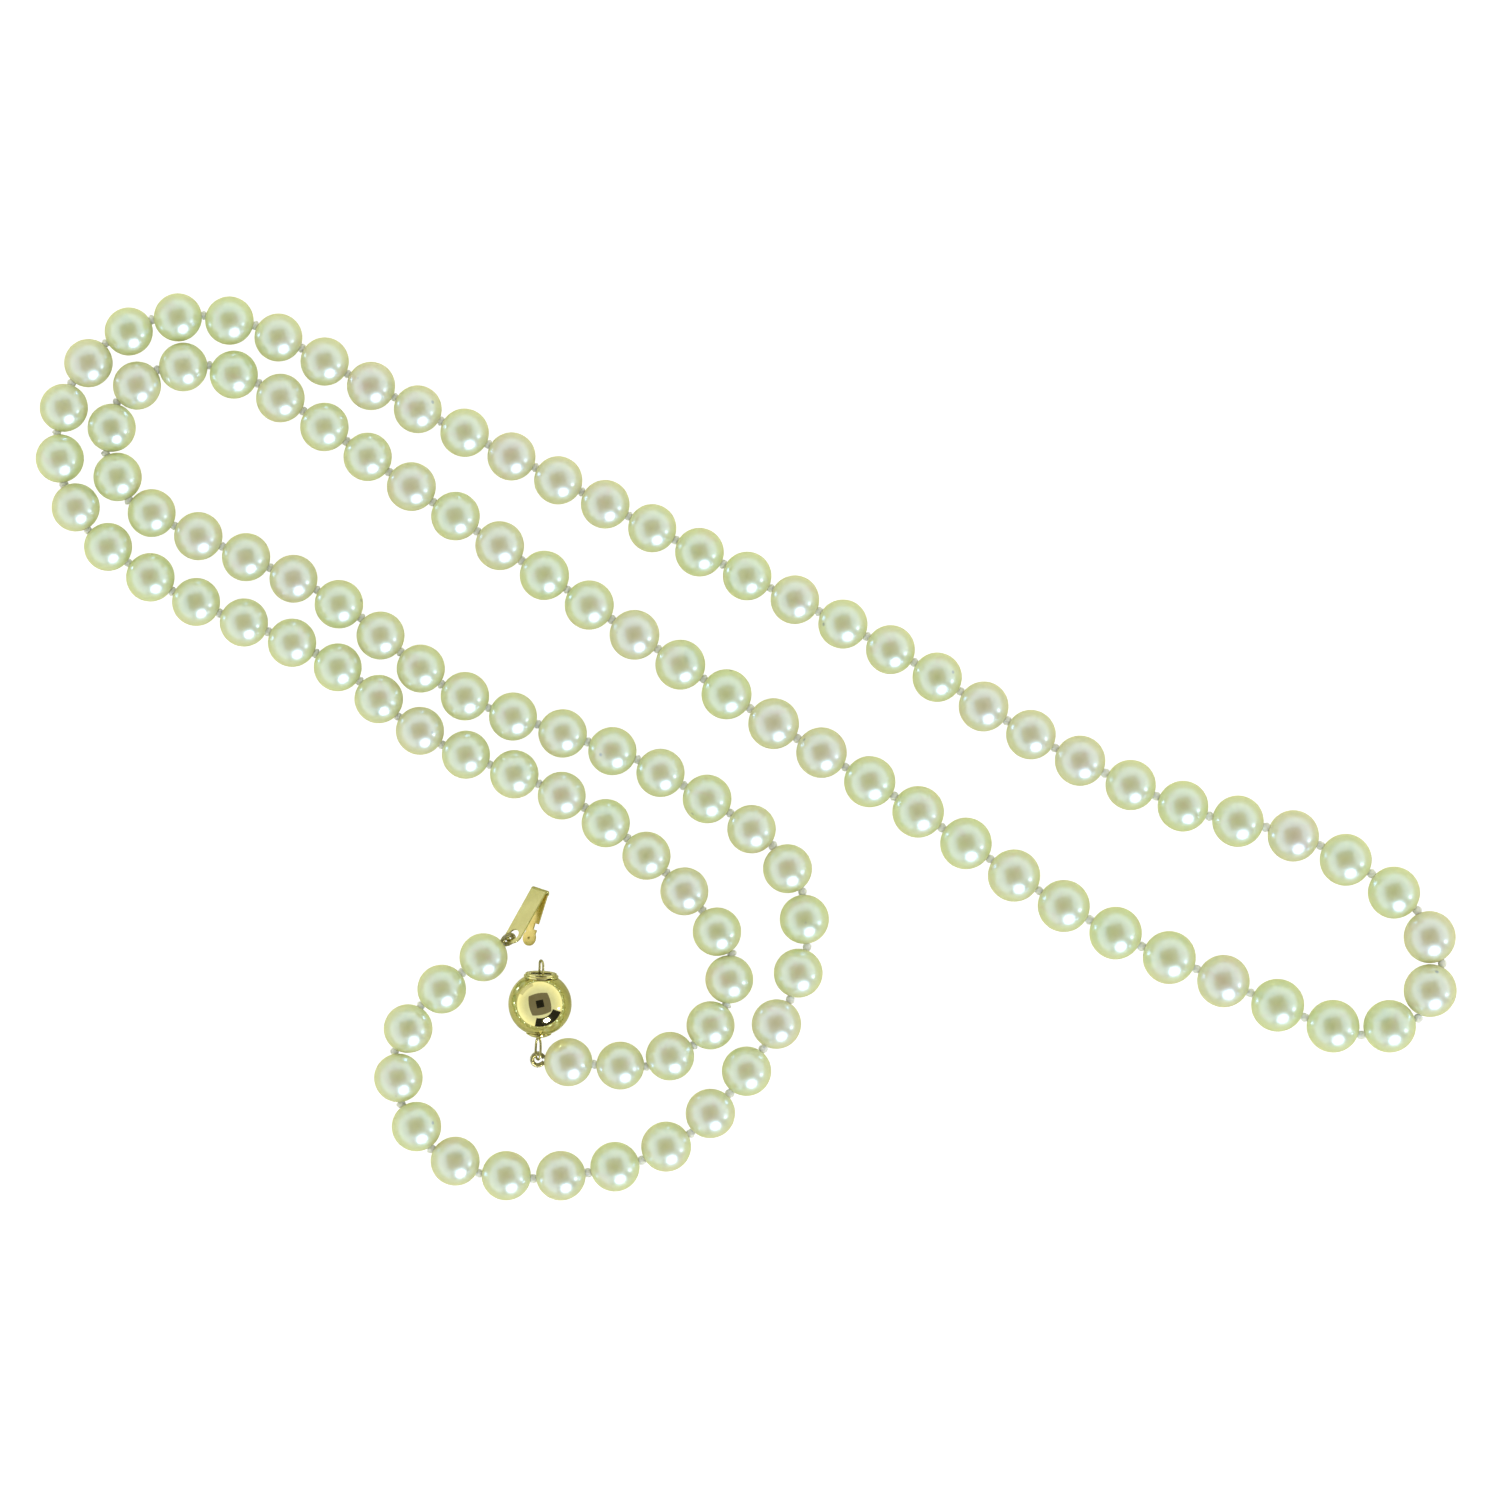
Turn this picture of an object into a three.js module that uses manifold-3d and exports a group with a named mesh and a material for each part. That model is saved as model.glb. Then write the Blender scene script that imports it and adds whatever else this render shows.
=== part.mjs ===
// A long knotted pearl necklace with a gold ball-and-tongue clasp, laid out open on a table.
// Millimetres, +Z up. The table is z = 0, and the origin is the middle of the laid-out strand.
import * as THREE from "three";
import { mergeVertices } from "three/addons/utils/BufferGeometryUtils.js";
import Module from "manifold-3d";

const wasm = await Module();
wasm.setup();

// ---- The strand ----
const PEARL_COUNT = 112;
const PEARL_DIAMETER = 6.86;
const PEARL_VARIATION = 0.04; // natural pearls differ a little from one to the next
const VARIATION_STEP = 2.4;
const DRILL_RADIUS = 0.42;
const SINGLES = 2; // pearls at each end that are solids of their own
const SECTION = 3; // pearls in each jointed section between them
const HELD_PEARL = 51; // the first pearl of the section that all the others hang from

// The strand is graduated: fuller pearls, wider knots, at its middle and again near one end.
const CENTRE_SIZE = { pearl: 56, spread: 12, more: 0.66 };
const TAIL_SIZE = { pearl: 103, spread: 7, more: 0.2 };
const KNOT_GAP = 0.54;
const CENTRE_GAP = { pearl: 54, spread: 14, more: 0.37 };
const TAIL_GAP = { pearl: 100.5, spread: 6, more: 0.36 };

const THREAD_RADIUS = 0.2;
const SILK_KNOT_RADIUS = 0.65; // a knot between two pearls of one section
const KNOT_BITE = 0.5; // how far such a knot reaches past each pearl's surface
const HINGE_KNOT_RADIUS = 0.22; // a knot that bends: small enough to clear the next pearl

// The line that the strand follows on the table, from the ball clasp round to the tongue.
const ROUTE = [
  [-29.5, -44], [-11, -44], [-2, -31.5], [-21.5, -9.5], [-47, 2.5],
  [-58.5, 12], [-84.5, 24], [-96, 34], [-98, 48.5], [-89, 59.5],
  [-75, 61.5], [-53.5, 51.5], [-8, 28.5], [20.5, 14], [41, 1.5],
  [62.5, -8.5], [80, -13], [97.5, -26.5], [97, -35.5], [89, -40.5],
  [65.5, -32], [45, -22.5], [23.5, -8.5], [-3.5, 8], [-49, 38],
  [-67.5, 50.5], [-75.5, 54.5], [-88, 52.5], [-91, 44], [-91, 38],
  [-58.5, 21], [-42.5, 8.5], [-13, -3], [6, -17], [7.5, -30.5],
  [-11.5, -56.5], [-42, -59], [-50.5, -47], [-48.5, -38.5], [-34, -26.6],
];
const ROUTE_STEPS = 40; // samples between two points of the route

// ---- The ball half of the clasp ----
const BALL_RADIUS = 4.5;
const BALL_WALL = 0.35;
const MOUTH_RADIUS = 2.05;
const BALL_LEAN = 2.5; // degrees, the ball's axis from +Y towards +X
const BALL_TILT = 8.3; // degrees, its mouth raised from the table
const COLLAR = { radius: 2.45, top: 4.42, plate: 0.3, slot: [2.9, 1.5] };
const WIRE_RADIUS = 0.17;
const STAPLE = { half_width: 0.8, height: 1.75, peak: 0.45, turn: 20 };
const WASHER = { radius: 1.8, thickness: 0.3, dish: 0.25 };
const EYELET = { half_width: 0.85, length: 3, turn: 25 };

// ---- The wound wire ("bullion") loops that join the strand to the clasp ----
const LOOP_RADIUS = 0.85;
const BULLION_RADIUS = 0.36;
const BULLION_BORE = 0.22;
const SILK_RADIUS = 0.15;
const LOOP_OPENING = 66; // degrees either side of the pearl that the wound wire leaves open
const SILK_SHOWS = 25; // degrees of bare silk between each end of the wound wire and the pearl

// ---- The tongue half of the clasp: one gold strip folded back on itself ----
const TONGUE = { width: 2.7, thickness: 0.28, length: 7.37, hole: 0.82, fold: 0.37 };
const TONGUE_HEADING = 61; // degrees from +X, from the hole to the fold
const TONGUE_PITCH = 15; // degrees that the strip slopes down towards the fold
const TONGUE_ROLL = 39; // degrees that the strip's right edge is raised
const LEAF = { root: 2.5, neck: 1.7, start: 0.32, tab: 6.6, tab_radius: 1.12, opening: 23 };
const NOTCH = { at: 4.8, length: 0.9, depth: 0.65 };
const DIMPLE = { radius: 0.28, depth: 0.1 };
const TABLE_CLEARANCE = 0.03;

const gold = new THREE.MeshStandardMaterial({ color: 0xdfcf7c, roughness: 0.15, metalness: 1 });
const leafGold = new THREE.MeshStandardMaterial({ color: 0xd2bb5f, roughness: 0.28, metalness: 1 });
const wireGold = new THREE.MeshStandardMaterial({ color: 0xd6c46e, roughness: 0.3, metalness: 1 });
const nacre = new THREE.MeshStandardMaterial({ color: 0xeaeed2, roughness: 0.25, metalness: 0 });
const silk = new THREE.MeshStandardMaterial({ color: 0xe3e6de, roughness: 0.9, metalness: 0 });

// ---- Solids ----

function solidOf(geometry) {
  const bare = geometry.clone();
  bare.deleteAttribute("normal");
  bare.deleteAttribute("uv");
  const merged = mergeVertices(bare, 1e-4);
  return new wasm.Manifold(
    new wasm.Mesh({
      numProp: 3,
      vertProperties: new Float32Array(merged.attributes.position.array),
      triVerts: new Uint32Array(merged.index.array),
    }),
  );
}

function geometryOf(solid) {
  const mesh = solid.getMesh();
  const geometry = new THREE.BufferGeometry();
  geometry.setAttribute("position", new THREE.BufferAttribute(mesh.vertProperties, 3));
  geometry.setIndex(new THREE.BufferAttribute(mesh.triVerts, 1));
  geometry.computeVertexNormals();
  return geometry;
}

const joined = (solids) => solids.reduce((sum, solid) => sum.add(solid));

function named(name, geometry, material) {
  const mesh = new THREE.Mesh(geometry, material);
  mesh.name = name;
  return mesh;
}

function solidAt(geometry, place) {
  return solidOf(geometry.translate(place.x, place.y, place.z));
}

// A straight rod from one point to another.
const ROD_AXIS = new THREE.Vector3(0, 1, 0);
function rodSolid(from, to, radius, sides = 4) {
  const rod = new THREE.CylinderGeometry(radius, radius, from.distanceTo(to), sides);
  const direction = to.clone().sub(from).normalize();
  rod.applyQuaternion(new THREE.Quaternion().setFromUnitVectors(ROD_AXIS, direction));
  const middle = from.clone().lerp(to, 0.5);
  return solidOf(rod.translate(middle.x, middle.y, middle.z));
}

// A round wire or, with a bore, a round tube along a curve.
function tubeGeometry(curve, radius, steps, bore = 0, sides = 8) {
  const section = new THREE.Shape();
  section.absarc(0, 0, radius, 0, 2 * Math.PI);
  if (bore > 0) {
    section.holes.push(new THREE.Path().absarc(0, 0, bore, 0, 2 * Math.PI, true));
  }
  // A full circle is drawn with twice as many sides as curveSegments says.
  return new THREE.ExtrudeGeometry(section, { extrudePath: curve, steps, curveSegments: sides / 2 });
}

// ---- The strand's sizes and places ----

const swell = (pearl, { pearl: peak, spread, more }) => more * Math.exp(-(((pearl - peak) / spread) ** 2));

function pearlDiameter(pearl) {
  const graded = PEARL_DIAMETER + swell(pearl, CENTRE_SIZE) + swell(pearl, TAIL_SIZE);
  return graded + PEARL_VARIATION * Math.sin(VARIATION_STEP * pearl);
}

const knotGap = (pearl) => KNOT_GAP + swell(pearl, CENTRE_GAP) + swell(pearl, TAIL_GAP);

// The points along a sampled line at the given straight distances from one another.
function stepAlong(samples, distances) {
  const found = [samples[0]];
  let index = 0;
  for (const distance of distances) {
    const last = found[found.length - 1];
    while (index < samples.length - 2 && samples[index + 1].distanceTo(last) < distance) {
      index += 1;
    }
    let near = 0;
    let far = 1;
    for (let halving = 0; halving < 30; halving += 1) {
      const middle = (near + far) / 2;
      const short = samples[index].clone().lerp(samples[index + 1], middle).distanceTo(last) < distance;
      [near, far] = short ? [middle, far] : [near, middle];
    }
    found.push(samples[index].clone().lerp(samples[index + 1], far));
  }
  return found;
}

// Every pearl with its centre, and the knot before and after each: pearl n is pearls[n - 1], and lies
// between knots[n - 1] and knots[n].
function layStrand() {
  const numbers = Array.from({ length: PEARL_COUNT }, (_, index) => index + 1);
  const curve = new THREE.CatmullRomCurve3(ROUTE.map(([x, y]) => new THREE.Vector3(x, y, 0)));
  const samples = curve.getPoints((ROUTE.length - 1) * ROUTE_STEPS);
  const knots = stepAlong(samples, numbers.map((n) => pearlDiameter(n) + knotGap(n)));
  const pearls = numbers.map((n) => {
    const radius = pearlDiameter(n) / 2;
    const centre = knots[n - 1].clone().lerp(knots[n], 0.5);
    return { radius, centre: centre.setZ(radius) };
  });
  knots.forEach((knot, index) => {
    const before = pearls[Math.max(index - 1, 0)].radius;
    const after = pearls[Math.min(index, PEARL_COUNT - 1)].radius;
    knot.setZ((before + after) / 2);
  });
  return { pearls, knots };
}

const { pearls, knots } = layStrand();
const pearlLabel = (n) => String(n).padStart(3, "0");

function pearlSolid(n) {
  const { centre, radius } = pearls[n - 1];
  return solidAt(new THREE.IcosahedronGeometry(radius, 1), centre);
}

// ---- Strand pieces ----

// A few pearls of the strand in one solid, with the silk knots between them. At its open ends it carries
// the small knot that the next section bends on: -1 is the end towards the ball, +1 towards the tongue.
function sectionPiece(first, last, openEnds) {
  const solids = [];
  for (let n = first; n <= last; n += 1) {
    solids.push(pearlSolid(n));
    if (n < last) {
      solids.push(knotSolid(n));
    }
  }
  for (const end of openEnds) {
    solids.push(hingeKnotSolid(end > 0 ? last : first, end));
  }
  return named(`pearls_${pearlLabel(first)}_${pearlLabel(last)}`, geometryOf(joined(solids)), nacre);
}

// The silk knot between pearl n and the next, biting a little way into both drill holes.
function knotSolid(n) {
  const along = pearls[n].centre.clone().sub(pearls[n - 1].centre).setLength(knotGap(n) / 2 + KNOT_BITE);
  return rodSolid(knots[n].clone().sub(along), knots[n].clone().add(along), SILK_KNOT_RADIUS);
}

// The thread that leaves pearl n and the knot that it ends in.
function hingeKnotSolid(n, outward) {
  const knot = outward > 0 ? knots[n] : knots[n - 1];
  return joined([
    rodSolid(pearls[n - 1].centre, knot, THREAD_RADIUS),
    solidAt(new THREE.OctahedronGeometry(HINGE_KNOT_RADIUS), knot),
  ]);
}

// A pearl of its own, drilled through for the thread.
function drilledPearl(n) {
  const { centre, radius } = pearls[n - 1];
  const along = knots[n].clone().sub(knots[n - 1]).setLength(radius + 1);
  const drill = rodSolid(centre.clone().sub(along), centre.clone().add(along), DRILL_RADIUS, 8);
  return named(`pearl_${pearlLabel(n)}`, geometryOf(pearlSolid(n).subtract(drill)), nacre);
}

// The silk inside one drilled pearl, with the knot that the pearl beyond it bends on.
function silkThread(n, outward) {
  const { centre } = pearls[n - 1];
  const [near, far] = outward > 0 ? [knots[n - 1], knots[n]] : [knots[n], knots[n - 1]];
  const blind = centre.clone().lerp(near, 0.75);
  const solid = joined([
    rodSolid(blind, far, THREAD_RADIUS),
    solidAt(new THREE.OctahedronGeometry(HINGE_KNOT_RADIUS), far),
  ]);
  return named(`silk_thread_${pearlLabel(n)}`, geometryOf(solid), silk);
}

// Each section carries the bending knot on the side away from the held one, which carries both.
function strandPieces() {
  const pieces = [];
  for (let n = SINGLES; n >= 1; n -= 1) {
    pieces.push(drilledPearl(n));
    pieces.push(silkThread(n, -1));
  }
  for (let first = SINGLES + 1; first <= PEARL_COUNT - SINGLES; first += SECTION) {
    const openEnds = [-1, 1].filter((end) => (first - HELD_PEARL) * end >= 0);
    pieces.push(sectionPiece(first, first + SECTION - 1, openEnds));
  }
  for (let n = PEARL_COUNT - SINGLES + 1; n <= PEARL_COUNT; n += 1) {
    pieces.push(drilledPearl(n));
    pieces.push(silkThread(n, 1));
  }
  return pieces;
}

// ---- Wound loops ----

// An arc of a circle in the plane of two directions, from one angle to another in degrees.
class LoopArc extends THREE.Curve {
  constructor(centre, first, second, radius, from, to) {
    super();
    Object.assign(this, { centre, first, second, radius, from, to });
  }
  getPoint(t, target = new THREE.Vector3()) {
    const angle = THREE.MathUtils.degToRad(this.from + (this.to - this.from) * t);
    return target
      .copy(this.centre)
      .addScaledVector(this.first, this.radius * Math.cos(angle))
      .addScaledVector(this.second, this.radius * Math.sin(angle));
  }
}

// The wound wire and the silk inside it, looping out of the drilled end of a pearl: toPearl points from
// the middle of the loop to the pearl, and side lies in the loop's plane.
function loopPieces(end, centre, toPearl, side) {
  const woundFrom = LOOP_OPENING;
  const silkFrom = LOOP_OPENING - SILK_SHOWS;
  const wire = new LoopArc(centre, toPearl, side, LOOP_RADIUS, woundFrom, 360 - woundFrom);
  const core = new LoopArc(centre, toPearl, side, LOOP_RADIUS, silkFrom, 360 - silkFrom);
  return [
    named(`bullion_loop_${end}`, tubeGeometry(wire, BULLION_RADIUS, 16, BULLION_BORE), wireGold),
    named(`silk_loop_${end}`, tubeGeometry(core, SILK_RADIUS, 20, 0, 6), silk),
  ];
}

const up = new THREE.Vector3(0, 0, 1);

// The middle of the loop beyond an end pearl, and the direction back to the pearl.
function loopPlace(n, knot) {
  const { centre, radius } = pearls[n - 1];
  const outward = knot.clone().sub(centre).normalize();
  const middle = centre.clone().addScaledVector(outward, radius + LOOP_RADIUS + 0.03);
  return { middle, toPearl: outward.clone().negate() };
}

const ballLoop = loopPlace(1, knots[0]);
const tongueLoop = loopPlace(PEARL_COUNT, knots[PEARL_COUNT]);

// ---- The ball, in its own frame: +Y is its axis, from the eyelet to the mouth, and +Z is up ----

function lathedAboutY(profile, segments) {
  return new THREE.LatheGeometry(profile.map(([r, y]) => new THREE.Vector2(r, y)), segments);
}

// A circle's points, as [distance from the axis, height], between two radii on the mouth side.
function sphereProfile(radius, fromAngle, toAngle, count) {
  return Array.from({ length: count + 1 }, (_, index) => {
    const angle = fromAngle + ((toAngle - fromAngle) * index) / count;
    return [radius * Math.sin(angle), -radius * Math.cos(angle)];
  });
}

function ballShell() {
  const inner = BALL_RADIUS - BALL_WALL;
  const outside = sphereProfile(BALL_RADIUS, 0, Math.PI - Math.asin(MOUTH_RADIUS / BALL_RADIUS), 9);
  const inside = sphereProfile(inner, 0, Math.PI - Math.asin(MOUTH_RADIUS / inner), 6).reverse();
  return named("clasp_ball_shell", lathedAboutY([...outside, ...inside], 20), gold);
}

// The stepped ring round the mouth, and the plate in it with the slot that the tongue goes in by.
function mouthCollar() {
  const seat = Math.sqrt(BALL_RADIUS ** 2 - COLLAR.radius ** 2) + 0.15;
  const innerSeat = Math.sqrt(BALL_RADIUS ** 2 - MOUTH_RADIUS ** 2) + 0.15;
  const shoulder = (seat + COLLAR.top) / 2;
  const profile = [
    [MOUTH_RADIUS, innerSeat],
    [COLLAR.radius, seat],
    [COLLAR.radius, shoulder],
    [COLLAR.radius - 0.2, COLLAR.top],
    [MOUTH_RADIUS, COLLAR.top],
    [MOUTH_RADIUS, innerSeat],
  ];
  return named("clasp_mouth_collar", lathedAboutY(profile, 24), gold);
}

function slotPlate() {
  const plate = new THREE.Shape();
  plate.absarc(0, 0, MOUTH_RADIUS - 0.05, 0, 2 * Math.PI);
  const [wide, deep] = COLLAR.slot;
  const slot = new THREE.Path();
  slot.moveTo(-wide / 2, -deep / 2);
  slot.lineTo(-wide / 2, deep / 2);
  slot.lineTo(wide / 2, deep / 2);
  slot.lineTo(wide / 2, -deep / 2);
  slot.closePath();
  plate.holes.push(slot);
  const geometry = new THREE.ExtrudeGeometry(plate, {
    depth: COLLAR.plate,
    bevelEnabled: false,
    curveSegments: 24,
  });
  geometry.rotateX(Math.PI / 2);
  geometry.translate(0, COLLAR.top, 0);
  return named("clasp_slot_plate", geometry, gold);
}

// The wire staple that stands in front of and behind the slot and bridges it.
function catchStaple() {
  const legFoot = COLLAR.top + 0.04;
  const shoulder = legFoot + STAPLE.height - STAPLE.peak;
  const half = STAPLE.half_width;
  const curve = new THREE.CatmullRomCurve3([
    new THREE.Vector3(0, legFoot, half),
    new THREE.Vector3(0, (legFoot + shoulder) / 2, half * 0.98),
    new THREE.Vector3(0, shoulder, half * 0.9),
    new THREE.Vector3(0, shoulder + STAPLE.peak * 0.75, half * 0.5),
    new THREE.Vector3(0, shoulder + STAPLE.peak, -half * 0.35),
    new THREE.Vector3(0, shoulder + STAPLE.peak * 0.4, -half * 0.95),
    new THREE.Vector3(0, (legFoot + shoulder) / 2, -half),
    new THREE.Vector3(0, legFoot, -half),
  ]);
  const geometry = tubeGeometry(curve, WIRE_RADIUS, 16, 0, 6);
  return named("clasp_catch_staple", geometry.rotateY(THREE.MathUtils.degToRad(STAPLE.turn)), wireGold);
}

// The dished washer that the eyelet is soldered through.
function baseWasher() {
  const seat = -Math.sqrt(BALL_RADIUS ** 2 - WASHER.radius ** 2) - 0.12;
  const profile = [
    [0, -BALL_RADIUS - 0.08],
    [WASHER.radius * 0.5, -BALL_RADIUS + 0.02],
    [WASHER.radius, seat],
    [WASHER.radius, seat - WASHER.thickness * 0.5],
    [WASHER.radius * 0.5, -BALL_RADIUS - WASHER.dish],
    [0, -BALL_RADIUS - WASHER.thickness - 0.05],
  ].reverse();
  return named("clasp_base_washer", lathedAboutY(profile, 24), gold);
}

// A long wire loop in the plane of the axis, soldered to the washer at its open end.
const EYELET_FOOT = -BALL_RADIUS - WASHER.thickness - 0.2;
const EYELET_BEND = EYELET_FOOT - EYELET.length + EYELET.half_width;

function ballEyelet() {
  const half = EYELET.half_width;
  const foot = [[half * 0.35, EYELET_FOOT], [half * 0.85, EYELET_FOOT - 0.45]];
  const bend = [0, 30, 60, 90, 120, 150, 180].map((degrees) => {
    const angle = THREE.MathUtils.degToRad(degrees);
    return [half * Math.cos(angle), EYELET_BEND - half * Math.sin(angle)];
  });
  const otherFoot = foot.map(([z, y]) => [-z, y]).reverse();
  const points = [...foot, ...bend, ...otherFoot].map(([z, y]) => new THREE.Vector3(0, y, z));
  const geometry = tubeGeometry(new THREE.CatmullRomCurve3(points), WIRE_RADIUS, 20, 0, 6);
  return named("clasp_ball_eyelet", geometry.rotateY(THREE.MathUtils.degToRad(EYELET.turn)), wireGold);
}

// The ball hangs on its wound loop by the eyelet, and rests on the table.
function ballHalf() {
  const ball = new THREE.Group();
  ball.add(ballShell(), mouthCollar(), slotPlate(), catchStaple(), baseWasher(), ballEyelet());
  ball.rotation.set(
    THREE.MathUtils.degToRad(BALL_TILT),
    0,
    THREE.MathUtils.degToRad(-BALL_LEAN),
    "ZXY",
  );
  ball.updateMatrix();
  const link = new THREE.Vector3(0, EYELET_BEND, 0).applyMatrix4(ball.matrix);
  const target = ballLoop.middle.clone().add(new THREE.Vector3(0, LOOP_RADIUS, 0));
  ball.position.copy(target.sub(link)).setZ(BALL_RADIUS);
  return ball;
}

// ---- The tongue, in its own frame: +X from the hole to the fold, +Y across to its left edge, +Z up ----

// A flat piece with its outline in X and Y, centred on z = 0.
function sheetGeometry(shape, thickness, sides = 12) {
  const geometry = new THREE.ExtrudeGeometry(shape, {
    depth: thickness,
    bevelEnabled: false,
    curveSegments: sides,
  });
  return geometry.translate(0, 0, -thickness / 2);
}

// The upper strip with its round, pierced end, and the bend that turns down and back at the other.
function tongueStrip() {
  const half = TONGUE.width / 2;
  const outline = new THREE.Shape();
  outline.moveTo(TONGUE.length, half);
  outline.lineTo(0, half);
  outline.absarc(0, 0, half, Math.PI / 2, 1.5 * Math.PI);
  outline.lineTo(TONGUE.length, -half);
  outline.closePath();
  outline.holes.push(new THREE.Path().absarc(0, 0, TONGUE.hole, 0, 2 * Math.PI, true));
  const strip = solidOf(sheetGeometry(outline, TONGUE.thickness));

  const outer = TONGUE.fold + TONGUE.thickness / 2;
  const inner = TONGUE.fold - TONGUE.thickness / 2;
  const bend = new THREE.Shape();
  bend.absarc(0, 0, outer, Math.PI / 2, -Math.PI / 2, true);
  bend.absarc(0, 0, inner, -Math.PI / 2, Math.PI / 2, false);
  bend.closePath();
  const fold = new THREE.ExtrudeGeometry(bend, {
    depth: TONGUE.width,
    bevelEnabled: false,
    curveSegments: 8,
  });
  fold.rotateX(Math.PI / 2);
  fold.translate(TONGUE.length - 0.001, half, -TONGUE.fold);
  return named("clasp_tongue_strip", geometryOf(strip.add(solidOf(fold))), gold);
}

// The sprung leaf below, narrowing to a notched neck and a round, dimpled thumb tab.
function springLeaf() {
  const root = LEAF.root / 2;
  const neck = LEAF.neck / 2;
  const edgeAt = (x) => root + ((neck - root) * (x - LEAF.start)) / (LEAF.tab - LEAF.start);
  const notchFrom = NOTCH.at - NOTCH.length / 2;
  const notchTo = NOTCH.at + NOTCH.length / 2;
  const join = Math.acos(neck / LEAF.tab_radius); // where the neck meets the round tab
  const outline = new THREE.Shape();
  outline.moveTo(LEAF.start, -root);
  outline.absarc(LEAF.tab, 0, LEAF.tab_radius, -Math.PI / 2 - join, Math.PI / 2 + join, false);
  outline.lineTo(notchTo, edgeAt(notchTo));
  outline.lineTo(notchTo, edgeAt(notchTo) - NOTCH.depth);
  outline.lineTo(notchFrom, edgeAt(notchFrom) - NOTCH.depth);
  outline.lineTo(notchFrom, edgeAt(notchFrom));
  outline.lineTo(LEAF.start, root);
  outline.closePath();
  const leaf = solidOf(sheetGeometry(outline, TONGUE.thickness));
  const dimple = new THREE.IcosahedronGeometry(DIMPLE.radius, 1);
  dimple.translate(LEAF.tab, 0, TONGUE.thickness / 2 + DIMPLE.radius - DIMPLE.depth);
  const mesh = named("clasp_spring_leaf", geometryOf(leaf.subtract(solidOf(dimple))), leafGold);
  // Drawn from the fold outwards along +X: turned about so that it runs back under the strip.
  const opening = THREE.MathUtils.degToRad(LEAF.opening);
  mesh.geometry.rotateZ(Math.PI);
  mesh.geometry.rotateY(-opening);
  mesh.geometry.translate(TONGUE.length, 0, -2 * TONGUE.fold);
  return mesh;
}

const tongueTurn = new THREE.Euler(
  THREE.MathUtils.degToRad(-TONGUE_ROLL),
  THREE.MathUtils.degToRad(TONGUE_PITCH),
  THREE.MathUtils.degToRad(TONGUE_HEADING),
  "ZYX",
);
const tongueUp = up.clone().applyEuler(tongueTurn);

// The tongue slopes from its wound loop, which holds the rim round its hole, down to the table.
function tongueHalf() {
  const tongue = new THREE.Group();
  const strip = tongueStrip();
  const leaf = springLeaf();
  tongue.add(strip, leaf);
  tongue.rotation.copy(tongueTurn);
  tongue.updateMatrix();
  const lowest = Math.min(
    ...[strip, leaf].map((piece) => {
      const turned = piece.geometry.clone().applyMatrix4(tongue.matrix);
      turned.computeBoundingBox();
      return turned.boundingBox.min.z;
    }),
  );
  const rimMiddle = (TONGUE.hole + TONGUE.width / 2) / 2;
  const fromLoop = tongueLoop.toPearl.clone().negate().projectOnPlane(tongueUp).setLength(rimMiddle);
  tongue.position.copy(tongueLoop.middle).add(fromLoop).setZ(TABLE_CLEARANCE - lowest);
  return tongue;
}

// ---- The necklace ----

// The tongue's loop stands square to its strip, and the ball's lies flat.
const tongueLoopSide = tongueUp.clone().projectOnPlane(tongueLoop.toPearl).normalize();
const ballLoopSide = new THREE.Vector3(0, 1, 0).projectOnPlane(ballLoop.toPearl).normalize();

const necklace = new THREE.Group();
necklace.add(...strandPieces());
necklace.add(...loopPieces("ball_end", ballLoop.middle, ballLoop.toPearl, ballLoopSide));
necklace.add(...loopPieces("tongue_end", tongueLoop.middle, tongueLoop.toPearl, tongueLoopSide));
necklace.add(ballHalf());
necklace.add(tongueHalf());

export default necklace;
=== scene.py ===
# The looks of the pearl necklace, in metres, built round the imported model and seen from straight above.
import math
import random

import bpy
from mathutils import Matrix, Vector, noise


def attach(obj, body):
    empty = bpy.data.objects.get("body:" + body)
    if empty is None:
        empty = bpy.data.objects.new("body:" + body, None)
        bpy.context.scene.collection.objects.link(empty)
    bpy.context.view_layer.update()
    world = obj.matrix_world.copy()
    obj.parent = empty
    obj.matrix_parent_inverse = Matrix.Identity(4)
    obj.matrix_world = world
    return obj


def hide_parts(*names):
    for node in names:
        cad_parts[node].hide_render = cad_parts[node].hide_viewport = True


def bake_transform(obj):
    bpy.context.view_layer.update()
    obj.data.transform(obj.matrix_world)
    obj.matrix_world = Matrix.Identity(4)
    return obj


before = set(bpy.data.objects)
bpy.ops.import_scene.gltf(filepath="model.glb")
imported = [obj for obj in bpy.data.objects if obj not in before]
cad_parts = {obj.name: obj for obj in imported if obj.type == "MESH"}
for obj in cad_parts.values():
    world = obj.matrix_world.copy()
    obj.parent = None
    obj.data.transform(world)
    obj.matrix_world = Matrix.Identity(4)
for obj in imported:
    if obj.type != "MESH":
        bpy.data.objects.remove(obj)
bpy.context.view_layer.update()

MM = 0.001
UP = Vector((0, 0, 1))

# ---- The strand: the same sizes and the same route as the CAD part ----

PEARL_COUNT = 112
PEARL_DIAMETER = 6.86
PEARL_VARIATION = 0.04
VARIATION_STEP = 2.4
SINGLES = 2
SECTION = 3
KNOT_GAP = 0.54

# (the pearl where it peaks, how many pearls it spreads over, how many mm it adds)
CENTRE_SIZE = (56, 12, 0.66)
TAIL_SIZE = (103, 7, 0.2)
CENTRE_GAP = (54, 14, 0.37)
TAIL_GAP = (100.5, 6, 0.36)

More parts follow.
